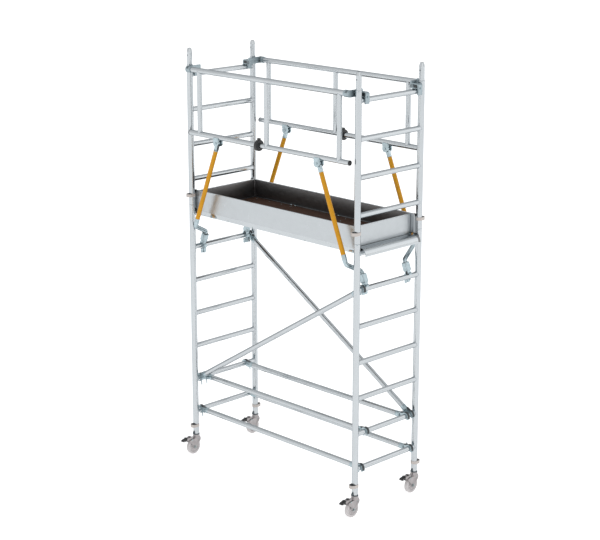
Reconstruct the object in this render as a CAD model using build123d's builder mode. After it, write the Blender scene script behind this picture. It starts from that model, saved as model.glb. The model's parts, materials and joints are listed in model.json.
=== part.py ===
"""Baker scaffold: a rolling aluminium tower of two stacked ladder frames at each end.

Millimetres. X runs along the platform, Y across the ladder frames, Z up from the ground.
The origin is on the ground midway between the four posts.
"""

import math
import os

from build123d import *

os.makedirs("parts", exist_ok=True)

# ---------------------------------------------------------------- driving dimensions
POST_X = 910.0  # post axes, half the spacing along the platform
POST_Y = 337.5  # post axes, half the spacing across a frame
POST_R = 24.15
POST_BORE_R = 21.25
RUNG_R = 20.0
RUNG_BORE_R = 17.5
RUNG_PITCH = 280.0
RUNG_1_Z = 371.7
LOWER_RUNGS = 7
UPPER_RUNGS = 4
FOOT = 204.0  # first rung above the lower end of a frame

SPIGOT_R = 21.05
SPIGOT_SEAT_R = 20.8  # inside the post that carries it, where it is crimped
SPIGOT_SHOULDER = 1.0  # its full radius starts this far above that post's end
SPIGOT_BORE_R = 18.05
SPIGOT_REACH = 130.0  # how far a spigot goes into each post, or stands out of it
SPIGOT_TAPER = 28.0
SPIGOT_TIP_R = 15.0
PIN_HEIGHT = 75.0  # locking pin above the joint between two posts
PIN_R = 4.0
PIN_HOLE_R = 4.3
SPIGOT_HOLE_R = 4.5

GUARD_Y = 387.5  # guardrail plane
TOP_RAIL_Z = 3222.0
LOW_RAIL_Z = 2725.0
RAIL_R = 21.0
RAIL_WALL = 2.2
SLIM_RAIL_R = 18.5
UPRIGHT_R = 19.5
GUARD_MID_X = 16.0  # middle of the near guardrail
UPRIGHT_PITCH = 756.0
STRUT_HEAD_DX = 549.0  # strut heads from the guardrail's middle
STRUT_FOOT_DX = 805.0
STRUT_HEAD_Z = 2680.0
STRUT_FOOT_Z = 2034.0
STRUT_R = 17.5

BRACE_R = 20.5
BRACE_WALL = 2.2
BRACE_1_Y = 278.0  # braces on rung 1
BRACE_2_Y = 228.0  # braces on rung 2
DIAGONAL_Y = 283.0
STRUT_HOOK_Y = 236.0

DECK_TOP = 2096.0
DECK_THICK = 12.0
BOARD_TOP = 2242.0
BOARD_BOTTOM = 2074.0
BOARD_OUT_Y = 311.0
BOARD_THICK = 6.0
BOARD_END_X = 905.0
END_BOARD_X = 866.0
RAIL_OUT_Y = 304.7
RAIL_IN_Y = 280.0
DECK_RAIL_BOTTOM = 2038.0
CLAW_HALF = 300.0
CLAW_RISE = 36.3  # its top above rung 7's axis
HATCH_X = (-455.0, 170.0)
HATCH_Y = (-252.0, 284.0)
HATCH_GAP = 3.0
HINGE_X = (-385.0, 99.0)
HINGE_Y = 288.0
CATCH_X = (-684.0, 820.0)  # toe board catches along the near rail

WHEEL_R = 62.5
WHEEL_HALF = 16.0
TRAIL = 34.0  # wheel axle from the swivel axis
AXLE_R = 5.0
KINGPIN_R = 6.0

GAP = 0.3  # running gap between bodies
FIT = 0.05  # radial clearance of a shaft in its hole

# ---------------------------------------------------------------- derived values
POSTS = [(sx * POST_X, sy * POST_Y) for sx in (1, -1) for sy in (-1, 1)]
CORNERS = {
    "near_right": (1, -1),
    "near_left": (-1, -1),
    "far_right": (1, 1),
    "far_left": (-1, 1),
}
BASE_Z = RUNG_1_Z - FOOT
MID_Z = BASE_Z + LOWER_RUNGS * RUNG_PITCH
TOP_Z = MID_Z + UPPER_RUNGS * RUNG_PITCH
DECK_BOTTOM = DECK_TOP - DECK_THICK
RUNG_2_Z = RUNG_1_Z + RUNG_PITCH
RUNG_6_Z = RUNG_1_Z + 5 * RUNG_PITCH
RUNG_7_Z = RUNG_1_Z + 6 * RUNG_PITCH
RUNG_11_Z = RUNG_1_Z + 10 * RUNG_PITCH
DIAGONAL_TILT = math.degrees(math.atan2(RUNG_6_Z - RUNG_2_Z, 2 * POST_X))


def save(builder, name):
    """Label a finished node and write its STEP file."""
    builder.part.label = name
    export_step(builder.part, f"parts/{name}.step")


def at_corner(shape, sx, sy):
    """A shape drawn at the +X +Y corner, mirrored to another corner."""
    if sx < 0:
        shape = mirror(shape, about=Plane.YZ, mode=Mode.PRIVATE)
    if sy < 0:
        shape = mirror(shape, about=Plane.XZ, mode=Mode.PRIVATE)
    return shape


def both_sides(shape):
    """A shape of the near guardrail and its twin, turned half a turn about Z."""
    return [shape, shape.rotate(Axis.Z, 180)]


# ---------------------------------------------------------------- ladder frames
def post_tubes(bottom, top):
    """Four post tubes with a pin hole above each lower end."""
    with BuildPart() as tubes:
        with Locations(*[(x, y, bottom) for x, y in POSTS]):
            Cylinder(POST_R, top - bottom, align=(Align.CENTER, Align.CENTER, Align.MIN))
            Cylinder(
                POST_BORE_R,
                top - bottom,
                align=(Align.CENTER, Align.CENTER, Align.MIN),
                mode=Mode.SUBTRACT,
            )
        for x, y in POSTS:
            outward = math.copysign(POST_R, y)
            with Locations((x, y + outward, bottom + PIN_HEIGHT)):
                Cylinder(PIN_HOLE_R, 12, rotation=(90, 0, 0), mode=Mode.SUBTRACT)
    return tubes.part


def spigot_tubes(joint_z):
    """Four spigots standing out of the posts, each half in and half out."""
    with BuildPart() as tubes:
        for x, y in POSTS:
            with BuildSketch(Plane(origin=(x, y, joint_z), x_dir=(1, 0, 0), z_dir=(0, -1, 0))):
                with BuildLine():
                    Polyline(
                        (SPIGOT_BORE_R, -SPIGOT_REACH),
                        (SPIGOT_SEAT_R, -SPIGOT_REACH),
                        (SPIGOT_SEAT_R, SPIGOT_SHOULDER),
                        (SPIGOT_R, SPIGOT_SHOULDER),
                        (SPIGOT_R, SPIGOT_REACH - SPIGOT_TAPER),
                        (SPIGOT_TIP_R, SPIGOT_REACH),
                        (SPIGOT_TIP_R - 3, SPIGOT_REACH),
                        (SPIGOT_BORE_R, SPIGOT_REACH - SPIGOT_TAPER),
                        close=True,
                    )
                make_face()
            revolve(axis=Axis((x, y, 0), (0, 0, 1)))
            with Locations((x, y, joint_z + PIN_HEIGHT)):
                Cylinder(SPIGOT_HOLE_R, 3 * SPIGOT_R, rotation=(90, 0, 0), mode=Mode.SUBTRACT)
    return tubes.part


with BuildPart() as posts:
    add(post_tubes(BASE_Z, MID_Z - GAP))
    add(post_tubes(MID_Z, TOP_Z))
save(posts, "posts")

with BuildPart() as spigots:
    add(spigot_tubes(MID_Z))
    add(spigot_tubes(TOP_Z))
save(spigots, "spigots")

# Rungs are coped to the posts that they are welded to.
with BuildPart() as rungs:
    for sx in (1, -1):
        for k in range(LOWER_RUNGS + UPPER_RUNGS):
            with Locations((sx * POST_X, 0, RUNG_1_Z + k * RUNG_PITCH)):
                Cylinder(RUNG_R, 2 * POST_Y, rotation=(90, 0, 0))
                Cylinder(RUNG_BORE_R, 2 * POST_Y, rotation=(90, 0, 0), mode=Mode.SUBTRACT)
    with Locations(*[(x, y, TOP_Z / 2) for x, y in POSTS]):
        Cylinder(POST_R + 0.1, TOP_Z + 200, mode=Mode.SUBTRACT)
save(rungs, "rungs")


# ---------------------------------------------------------------- locking clips
CLIP_WALL = 3.4
CLIP_HALF = 28.0
CLIP_REACH = 24.0  # centre of the clip's round end from the post's axis
CLIP_TAIL = 8.0  # how far its two arms pass the post's axis
CLIP_HEIGHT = 24.0
CLIP_PIN_TIP = 16.0


def locking_clip(x, y, z):
    """Plastic spring clip hugging a post, with its pin through the post and spigot."""
    out = math.copysign(1, y)
    with BuildPart() as clip:
        with BuildSketch(Plane.XY.offset(z - CLIP_HEIGHT / 2)):
            for grow, mode in ((0, Mode.ADD), (-CLIP_WALL, Mode.SUBTRACT)):
                radius = CLIP_HALF + grow
                with Locations((x, y + out * CLIP_REACH)):
                    Circle(radius, mode=mode)
                with Locations((x, y + out * (CLIP_REACH - CLIP_TAIL) / 2)):
                    Rectangle(2 * radius, CLIP_REACH + CLIP_TAIL, mode=mode)
        extrude(amount=CLIP_HEIGHT)
        fillet(clip.edges().filter_by(GeomType.CIRCLE).group_by(Axis.Z)[-1], 1.2)
        span = CLIP_REACH + CLIP_HALF - CLIP_WALL / 2 - CLIP_PIN_TIP
        with Locations((x, y + out * (CLIP_PIN_TIP + span / 2), z)):
            Cylinder(PIN_R, span, rotation=(90, 0, 0))
    return clip


for corner, (sx, sy) in CORNERS.items():
    low = locking_clip(sx * POST_X, sy * POST_Y, BASE_Z + PIN_HEIGHT)
    save(low, f"base_clip_{corner}")
    high = locking_clip(sx * POST_X, sy * POST_Y, MID_Z + PIN_HEIGHT)
    save(high, f"joint_clip_{corner}")


# ---------------------------------------------------------------- brace hooks and latches
HOOK_HALF = 14.0
HOOK_BORE = RUNG_R + 0.3
HOOK_R = 32.0
HOOK_NECK = 58.0  # end of the casting along the tube it holds
NECK_HEIGHT = 44.0
HOOK_PLUG = 86.0
LATCH_PIVOT = (30.0, -4.0)  # from the rung's axis, inward and up
LATCH_PIN_R = 3.5
LATCH_THICK = 4.0
TAB_WIDTH = 7.0


def rung_hook(y, rung_z, tilt, plug_r):
    """Casting that hooks over a rung at the +X end; tilt is its tube's slope outward."""
    # The profile is drawn with its first axis pointing inward, to -X.
    plane = Plane(origin=(POST_X, y, rung_z), x_dir=(-1, 0, 0), z_dir=(0, 1, 0))
    with BuildPart() as hook:
        with BuildSketch(plane):
            Circle(HOOK_R)
            with Locations((-(HOOK_R + HOOK_BORE) / 2, -11)):
                Rectangle(HOOK_R - HOOK_BORE, 22)
            with Locations((31, -3)):
                Rectangle(20, 26)
            neck = (HOOK_NECK + 24) / 2
            turn = math.radians(tilt)
            with Locations((neck * math.cos(turn), neck * math.sin(turn))):
                Rectangle(HOOK_NECK - 24, NECK_HEIGHT, rotation=tilt)
            Circle(HOOK_BORE, mode=Mode.SUBTRACT)
            with Locations((0, -40)):
                Rectangle(2 * HOOK_BORE, 80, mode=Mode.SUBTRACT)
        extrude(amount=HOOK_HALF, both=True)
        middle = (HOOK_NECK + HOOK_PLUG - 1) / 2
        point = plane.from_local_coords((middle * math.cos(turn), middle * math.sin(turn), 0))
        way = plane.from_local_coords((math.cos(turn), math.sin(turn), 0)) - plane.origin
        with Locations(Plane(origin=point, z_dir=way)):
            Cylinder(plug_r, HOOK_PLUG - HOOK_NECK + 1)
        pivot = plane.from_local_coords((*LATCH_PIVOT, 0))
        with Locations(pivot):
            Cylinder(LATCH_PIN_R + FIT, 80, rotation=(90, 0, 0), mode=Mode.SUBTRACT)
    return hook.part


def latch(y, rung_z, tab_up):
    """Latch lever on a hook's post-side face, with its finger under the rung."""
    plane = Plane(
        origin=(POST_X, y + HOOK_HALF + GAP, rung_z), x_dir=(-1, 0, 0), z_dir=(0, 1, 0)
    )
    px, pz = LATCH_PIVOT
    angle, reach = (70, 38) if tab_up else (-80, 52)
    turn = math.radians(angle)
    with BuildPart() as lever:
        with BuildSketch(plane):
            with Locations((px, pz)):
                Circle(8)
            with BuildLine():
                Polyline(
                    (px - 7, pz - 4),
                    (px + 8, pz - 1),
                    (px + 1, pz - 24),
                    (-3, pz - 29),
                    (-4, pz - 20),
                    (14, pz - 19),
                    close=True,
                )
            make_face()
            middle = (px + math.cos(turn) * reach / 2, pz + math.sin(turn) * reach / 2)
            with Locations(middle):
                SlotOverall(reach, TAB_WIDTH, rotation=angle)
        extrude(amount=LATCH_THICK)
        with Locations(plane.from_local_coords((px, pz, 0.5 - HOOK_HALF / 2))):
            Cylinder(LATCH_PIN_R, HOOK_HALF + 1, rotation=(90, 0, 0))
    return lever.part


HOOKS = {
    "base": (BRACE_1_Y, RUNG_1_Z),
    "second": (BRACE_2_Y, RUNG_2_Z),
    "strut": (STRUT_HOOK_Y, RUNG_6_Z),
}
# The near diagonal rises from the left frame to the right one, the far one the other way.
DIAGONAL_ENDS = {
    "near_right": (RUNG_6_Z, -DIAGONAL_TILT),
    "near_left": (RUNG_2_Z, DIAGONAL_TILT),
    "far_right": (RUNG_2_Z, DIAGONAL_TILT),
    "far_left": (RUNG_6_Z, -DIAGONAL_TILT),
}
BRACE_PLUG_R = BRACE_R - BRACE_WALL - 0.2

brace_hook_shapes = [
    at_corner(rung_hook(y, rung_z, 0, BRACE_PLUG_R), sx, sy)
    for sx, sy in CORNERS.values()
    for y, rung_z in (HOOKS["base"], HOOKS["second"])
]
brace_hook_shapes += [
    at_corner(rung_hook(DIAGONAL_Y, rung_z, tilt, BRACE_PLUG_R), *CORNERS[corner])
    for corner, (rung_z, tilt) in DIAGONAL_ENDS.items()
]

for corner, (sx, sy) in CORNERS.items():
    places = {**HOOKS, "diagonal": (DIAGONAL_Y, DIAGONAL_ENDS[corner][0])}
    for place, (y, rung_z) in places.items():
        falling = place == "diagonal" and DIAGONAL_ENDS[corner][1] < 0
        tab_up = (sx > 0 and place != "strut") or falling
        lever = at_corner(latch(y, rung_z, tab_up), sx, sy)
        with BuildPart() as placed_latch:
            add(lever)
        save(placed_latch, f"{place}_latch_{corner}")


# ---------------------------------------------------------------- braces
def brace(start, end):
    """A brace tube between two points."""
    a, b = Vector(*start), Vector(*end)
    with BuildPart() as tube:
        with Locations(Plane(origin=(a + b) / 2, z_dir=b - a)):
            Cylinder(BRACE_R, (b - a).length)
            Cylinder(BRACE_R - BRACE_WALL, (b - a).length, mode=Mode.SUBTRACT)
    return tube.part


with BuildPart() as brace_tubes:
    for y, rung_z in (HOOKS["base"], HOOKS["second"]):
        for side in (1, -1):
            half = POST_X - HOOK_NECK - 0.2
            add(brace((-half, side * y, rung_z), (half, side * y, rung_z)))
    tilt = math.radians(DIAGONAL_TILT)
    back_x = (HOOK_NECK + 0.2) * math.cos(tilt)
    back_z = (HOOK_NECK + 0.2) * math.sin(tilt)
    diagonal = brace(
        (-POST_X + back_x, -DIAGONAL_Y, RUNG_2_Z + back_z),
        (POST_X - back_x, -DIAGONAL_Y, RUNG_6_Z - back_z),
    )
    add(both_sides(diagonal))
save(brace_tubes, "brace_tubes")

# ---------------------------------------------------------------- guardrails
TOP_RAIL_HALF = 858.0
UPRIGHT_X = [GUARD_MID_X + k * UPRIGHT_PITCH for k in (-1, 0, 1)]
RING_X = -71.0
LOW_RAIL_X = (-850.0, 874.0)


def rail_tube(x0, x1, z, radius, wall):
    """A rail tube along X in the near guardrail plane."""
    with BuildPart() as tube:
        with Locations(Plane(origin=((x0 + x1) / 2, -GUARD_Y, z), z_dir=(1, 0, 0))):
            Cylinder(radius, x1 - x0)
            Cylinder(radius - wall, x1 - x0, mode=Mode.SUBTRACT)
    return tube.part


with BuildPart() as guard_rails:
    add(both_sides(rail_tube(-TOP_RAIL_HALF, TOP_RAIL_HALF, TOP_RAIL_Z, RAIL_R, RAIL_WALL)))
    add(both_sides(rail_tube(LOW_RAIL_X[0], RING_X - 16, LOW_RAIL_Z, RAIL_R, RAIL_WALL)))
    slim = rail_tube(RING_X - 120, LOW_RAIL_X[1], LOW_RAIL_Z, SLIM_RAIL_R, RAIL_WALL)
    add(both_sides(slim))
save(guard_rails, "guard_rails")

def guard_upright(x):
    """Upright of the near guardrail, coped to the rails that it is welded to."""
    low_r = RAIL_R if x < RING_X else SLIM_RAIL_R
    with BuildPart() as upright:
        with Locations((x, -GUARD_Y, (TOP_RAIL_Z + LOW_RAIL_Z) / 2)):
            Cylinder(UPRIGHT_R, TOP_RAIL_Z - LOW_RAIL_Z)
            Cylinder(UPRIGHT_R - RAIL_WALL, TOP_RAIL_Z - LOW_RAIL_Z, mode=Mode.SUBTRACT)
        for z, radius in ((TOP_RAIL_Z, RAIL_R), (LOW_RAIL_Z, low_r)):
            with Locations((x, -GUARD_Y, z)):
                Cylinder(radius + 0.1, 80, rotation=(0, 90, 0), mode=Mode.SUBTRACT)
    return upright.part


with BuildPart() as guard_uprights:
    for x in UPRIGHT_X:
        add(both_sides(guard_upright(x)))
save(guard_uprights, "guard_uprights")


def joint_ring():
    """Plastic ring where the lower rail's thin tube slides into its thick one."""
    with BuildPart() as ring:
        with Locations(Plane(origin=(RING_X, -GUARD_Y, LOW_RAIL_Z), z_dir=(1, 0, 0))):
            Cylinder(43, 30)
        fillet(ring.edges().filter_by(GeomType.CIRCLE), 7)
        with Locations((RING_X + 2, -GUARD_Y, LOW_RAIL_Z + 44)):
            Box(24, 16, 22)
        with Locations((RING_X - 8, -GUARD_Y, LOW_RAIL_Z)):
            Cylinder(RAIL_R + 0.1, 16, rotation=(0, 90, 0), mode=Mode.SUBTRACT)
        with Locations((RING_X, -GUARD_Y, LOW_RAIL_Z)):
            Cylinder(SLIM_RAIL_R + 0.1, 40, rotation=(0, 90, 0), mode=Mode.SUBTRACT)
    return ring.part


def rail_cap(x, out, radius):
    """Plug in an end of the lower rail; out is +1 or -1 along X."""
    with BuildPart() as cap:
        with Locations((x + out * 3.1, -GUARD_Y, LOW_RAIL_Z)):
            Cylinder(radius + 1, 6, rotation=(0, 90, 0))
        fillet(cap.edges().filter_by(GeomType.CIRCLE), 1.5)
        with Locations((x - out * 9.9, -GUARD_Y, LOW_RAIL_Z)):
            Cylinder(radius - RAIL_WALL - 0.1, 20, rotation=(0, 90, 0))
    return cap.part


with BuildPart() as guard_rings_and_caps:
    add(both_sides(joint_ring()))
    add(both_sides(rail_cap(LOW_RAIL_X[0], -1, RAIL_R)))
    add(both_sides(rail_cap(LOW_RAIL_X[1], 1, SLIM_RAIL_R)))
save(guard_rings_and_caps, "guard_rings_and_caps")

COUPLER_ARM_X = (860.0, 876.0)
# Each guardrail has a saddle well clear of the post at one end and close to it at the other.
COUPLER_RUNG_Y = {
    "near_right": (256.0, 298.0),
    "near_left": (266.0, 311.0),
    "far_right": (266.0, 311.0),
    "far_left": (256.0, 298.0),
}


def guard_coupler(inner_y, outer_y):
    """Coupler at the +X +Y corner: rail sleeve, arm inside the post, saddle over rung 11."""
    with BuildPart() as coupler:
        with Locations((851, GUARD_Y, TOP_RAIL_Z)):
            Cylinder(RAIL_R + 5, 50, rotation=(0, 90, 0))
        arm_mid = (inner_y + GUARD_Y) / 2
        with Locations(((COUPLER_ARM_X[0] + COUPLER_ARM_X[1]) / 2, arm_mid, TOP_RAIL_Z - 1)):
            Box(COUPLER_ARM_X[1] - COUPLER_ARM_X[0], GUARD_Y - inner_y, 50)
        with BuildSketch(
            Plane(origin=(POST_X, inner_y, RUNG_11_Z), x_dir=(1, 0, 0), z_dir=(0, -1, 0))
        ):
            with BuildLine():
                Polyline(
                    (-50, 20.3),
                    (-32, 20.3),
                    (-32, -12),
                    (-20.6, -12),
                    (-20.6, 20.4),
                    (20.6, 20.4),
                    (20.6, -26),
                    (28, -26),
                    (28, 50),
                    (20, 58),
                    (-50, 58),
                    close=True,
                )
            make_face()
            with BuildLine():
                Polyline((-16, 27), (21, 27), (21, 46), (16, 51), (-16, 51), close=True)
            make_face(mode=Mode.SUBTRACT)
        extrude(amount=inner_y - outer_y)
        with Locations((846, GUARD_Y, TOP_RAIL_Z)):
            Cylinder(RAIL_R + 0.1, 2 * (TOP_RAIL_HALF + 0.1 - 846), rotation=(0, 90, 0),
                     mode=Mode.SUBTRACT)
        with Locations((826, GUARD_Y, TOP_RAIL_Z)):
            Cylinder(RAIL_R + 0.1, 40, rotation=(0, 90, 0), mode=Mode.SUBTRACT)
    return coupler.part


with BuildPart() as guard_couplers:
    for corner, (sx, sy) in CORNERS.items():
        add(at_corner(guard_coupler(*COUPLER_RUNG_Y[corner]), sx, sy))
save(guard_couplers, "guard_couplers")

# ---------------------------------------------------------------- folding struts
STRUT_ENDS = {
    side: (
        Vector(GUARD_MID_X + side * STRUT_HEAD_DX, -GUARD_Y, STRUT_HEAD_Z),
        Vector(GUARD_MID_X + side * STRUT_FOOT_DX, -GUARD_Y, STRUT_FOOT_Z),
    )
    for side in (1, -1)
}
STRUT_WALL = 2.0
NECK_LENGTH = 66.0  # flattened zinc neck above the painted tube
CRANK_R = 16.5
CRANK_KNEE = 71.0  # upper bend of a strut's crank, below the painted tube's end
SOCKET_KNEE = 130.0  # lower bend, above the rung's axis
SOCKET_START = 45.0
SOCKET_LENGTH = 64.0
HEAD_PIN_R = 6.0


def strut_tube(head, foot):
    """Painted tube of a strut, below its flattened neck."""
    way = (foot - head).normalized()
    top = head + way * NECK_LENGTH
    with BuildPart() as tube:
        with Locations(Plane(origin=(top + foot) / 2, z_dir=way)):
            Cylinder(STRUT_R, (foot - top).length)
            Cylinder(STRUT_R - STRUT_WALL, (foot - top).length, mode=Mode.SUBTRACT)
    return tube.part


with BuildPart() as strut_tubes:
    for head, foot in STRUT_ENDS.values():
        add(both_sides(strut_tube(head, foot)))
save(strut_tubes, "strut_tubes")


def strut_bracket(head):
    """Clevis hooked over the lower rail from below, with a strut's head between its cheeks."""
    low_r = RAIL_R if head.X < RING_X else SLIM_RAIL_R
    with BuildPart() as bracket:
        with BuildSketch(Plane(origin=head, x_dir=(1, 0, 0), z_dir=(0, -1, 0))):
            Circle(28)
            with Locations((0, 32)):
                Rectangle(56, 34)
        extrude(amount=26, both=True)
        with Locations(head):
            Box(70, 30, 62, mode=Mode.SUBTRACT)
            Cylinder(HEAD_PIN_R + 0.1, 80, rotation=(90, 0, 0), mode=Mode.SUBTRACT)
        with Locations((head.X, head.Y, LOW_RAIL_Z)):
            Cylinder(low_r + 0.1, 90, rotation=(0, 90, 0), mode=Mode.SUBTRACT)
            Box(
                90,
                60,
                2 * low_r - 20,
                align=(Align.CENTER, Align.CENTER, Align.MIN),
                mode=Mode.SUBTRACT,
            )
    return bracket.part


def strut_neck(head, way):
    """Flattened end of a strut, plugged into its tube and bored for the head pin."""
    with BuildPart() as neck:
        middle = head + way * (NECK_LENGTH - 24)
        with Locations(Plane(origin=middle, z_dir=way, x_dir=(0, 1, 0))):
            Box(22, 30, 46)
        with Locations(Plane(origin=head + way * (NECK_LENGTH + 18), z_dir=way)):
            Cylinder(STRUT_R - STRUT_WALL - 0.1, 40)
        with Locations(head):
            Cylinder(15, 22, rotation=(90, 0, 0))
            Cylinder(HEAD_PIN_R + 0.1, 40, rotation=(90, 0, 0), mode=Mode.SUBTRACT)
    return neck.part


def strut_head_pin(head):
    """Pin with a flat head on each outer face of a strut's bracket."""
    with BuildPart() as pin:
        with Locations(head):
            Cylinder(HEAD_PIN_R, 53, rotation=(90, 0, 0))
        with Locations(*[(head.X, head.Y + face * 28.2, head.Z) for face in (-1, 1)]):
            Cylinder(9, 4, rotation=(90, 0, 0))
    return pin.part


with BuildPart() as strut_heads:
    for head, foot in STRUT_ENDS.values():
        way = (foot - head).normalized()
        for piece in (strut_bracket(head), strut_neck(head, way), strut_head_pin(head)):
            add(both_sides(piece))
save(strut_heads, "strut_heads")


def crank(side):
    """Bar from a strut's foot that joggles past the post, then runs on to its hook."""
    head, foot = STRUT_ENDS[side]
    way = (foot - head).normalized()
    start = foot + way * 0.5
    rung = Vector(side * POST_X, -STRUT_HOOK_Y, RUNG_6_Z)
    route = [
        start,
        foot + way * CRANK_KNEE,
        rung - way * SOCKET_KNEE,
        rung - way * (SOCKET_START - 1),
    ]
    with BuildPart() as bar:
        with BuildLine() as path:
            FilletPolyline(*route, radius=26)
        with BuildSketch(Plane(origin=start, z_dir=way)):
            Circle(CRANK_R)
        sweep(path=path.wires()[0])
        with Locations(Plane(origin=foot - way * 19, z_dir=way)):
            Cylinder(STRUT_R - STRUT_WALL - 0.1, 42)
        with Locations(Plane(origin=foot + way * 13, z_dir=way)):
            Cylinder(STRUT_R - 0.3, 25)
    return bar.part


with BuildPart() as strut_cranks:
    for side in (1, -1):
        add(both_sides(crank(side)))
save(strut_cranks, "strut_cranks")


def strut_hook():
    """Hook of a strut at the +X +Y corner, with a square socket in line with the strut."""
    plane = Plane(origin=(POST_X, STRUT_HOOK_Y, RUNG_6_Z), x_dir=(-1, 0, 0), z_dir=(0, 1, 0))
    head, foot = STRUT_ENDS[1]
    way = (head - foot).normalized()
    lean = math.degrees(math.asin(-way.X))
    rung = plane.origin
    with BuildPart() as hook:
        with BuildSketch(plane):
            Circle(HOOK_R)
            with Locations((31, -3)):
                Rectangle(20, 26)
            with Locations((-35 * way.X, 35 * way.Z)):
                Rectangle(36, 32, rotation=-lean)
            Circle(HOOK_BORE, mode=Mode.SUBTRACT)
            with Locations((0, -40)):
                Rectangle(2 * HOOK_BORE, 80, mode=Mode.SUBTRACT)
            # It rests on the rung's top and grips from the inner side only.
            with Locations((-27, -7)):
                Rectangle(26, 66, mode=Mode.SUBTRACT)
        extrude(amount=HOOK_HALF, both=True)
        middle = rung + way * (SOCKET_START + SOCKET_LENGTH / 2)
        with Locations(Plane(origin=middle, z_dir=way, x_dir=(0, 1, 0))):
            Box(40, 44, SOCKET_LENGTH)
        with Locations(plane.from_local_coords((*LATCH_PIVOT, 0))):
            Cylinder(LATCH_PIN_R + FIT, 80, rotation=(90, 0, 0), mode=Mode.SUBTRACT)
        with Locations(Plane(origin=rung + way * (SOCKET_START + 50), z_dir=way)):
            Cylinder(CRANK_R + 0.1, 102, mode=Mode.SUBTRACT)
    return hook.part


with BuildPart() as rung_hooks:
    add(brace_hook_shapes)
    add([at_corner(strut_hook(), sx, sy) for sx, sy in CORNERS.values()])
save(rung_hooks, "rung_hooks")

# ---------------------------------------------------------------- platform
CATCH_Z = 2050.0
CATCH_PIN_R = 3.0
CLAW_BACK = -49.0
CLAW_LIP = 52.0


def end_claw():
    """Hollow extruded claw over rung 7 at the +X end, the full width of the platform."""
    plane = Plane(origin=(POST_X, CLAW_HALF, RUNG_7_Z), x_dir=(1, 0, 0), z_dir=(0, -1, 0))
    with BuildPart() as claw:
        with BuildSketch(plane):
            with BuildLine():
                Polyline((CLAW_LIP, -13.7), (CLAW_LIP, -21.7), (CLAW_LIP - 4, -21.7),
                         (CLAW_LIP - 4, -13.7))
                RadiusArc((CLAW_LIP - 4, -13.7), (30, 20.4), -46)
                Polyline((30, 20.4), (CLAW_BACK + 20, 20.4), (CLAW_BACK + 20, -13.7),
                         (CLAW_BACK, -13.7), (CLAW_BACK, CLAW_RISE), (2, CLAW_RISE))
                RadiusArc((2, CLAW_RISE), (CLAW_LIP, -13.7), 50)
            make_face()
            with BuildLine():
                Polyline((2, 32.8), (CLAW_BACK + 4, 32.8), (CLAW_BACK + 4, 24.4), (24, 24.4))
                RadiusArc((24, 24.4), (2, 32.8), -46.5)
            make_face(mode=Mode.SUBTRACT)
        extrude(amount=2 * CLAW_HALF)
    return claw.part


with BuildPart() as deck_end_claws:
    add(both_sides(end_claw()))
save(deck_end_claws, "deck_end_claws")

FRAME_END_X = POST_X + CLAW_BACK - 0.2
CROSSBAR_X = (-846.0, -560.0, HATCH_X[0] - 15, HATCH_X[1] + 15, 500.0, 846.0)
with BuildPart() as deck_frame:
    for side in (1, -1):
        width = RAIL_OUT_Y - RAIL_IN_Y
        height = DECK_BOTTOM - DECK_RAIL_BOTTOM
        middle = (0, side * (RAIL_OUT_Y + RAIL_IN_Y) / 2, (DECK_BOTTOM + DECK_RAIL_BOTTOM) / 2)
        with Locations(middle):
            Box(2 * FRAME_END_X, width, height)
            Box(2 * FRAME_END_X, width - 5, height - 5, mode=Mode.SUBTRACT)
        for x in CATCH_X:
            with Locations((-side * x, side * RAIL_OUT_Y, CATCH_Z)):
                Cylinder(CATCH_PIN_R + FIT, 14, rotation=(90, 0, 0), mode=Mode.SUBTRACT)
    for x in CROSSBAR_X:
        end_bar = abs(x) > 800
        top = DECK_BOTTOM - 18 if end_bar else DECK_BOTTOM
        with Locations((x, 0, (top + DECK_RAIL_BOTTOM + 2) / 2)):
            Box(28 if end_bar else 34, 2 * (RAIL_IN_Y - 0.2), top - DECK_RAIL_BOTTOM - 2)
            Box(22 if end_bar else 28, 2 * RAIL_IN_Y, top - DECK_RAIL_BOTTOM - 8,
                mode=Mode.SUBTRACT)
    long_x = (HATCH_X[1] - HATCH_X[0]) - 4.4
    with Locations(((HATCH_X[0] + HATCH_X[1]) / 2, HATCH_Y[0] - 6, DECK_BOTTOM - 15)):
        Box(long_x, 30, 30)
        Box(long_x, 24, 24, mode=Mode.SUBTRACT)
save(deck_frame, "deck_frame")

DECK_HALF_X = END_BOARD_X - BOARD_THICK - 0.3
with BuildPart() as deck_panel:
    with Locations((0, 0, DECK_TOP - DECK_THICK / 2)):
        Box(2 * DECK_HALF_X, 2 * RAIL_OUT_Y - 1, DECK_THICK)
    with Locations(((HATCH_X[0] + HATCH_X[1]) / 2, (HATCH_Y[0] + HATCH_Y[1]) / 2, DECK_TOP)):
        Box(HATCH_X[1] - HATCH_X[0], HATCH_Y[1] - HATCH_Y[0], 60, mode=Mode.SUBTRACT)
save(deck_panel, "deck_panel")

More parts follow.
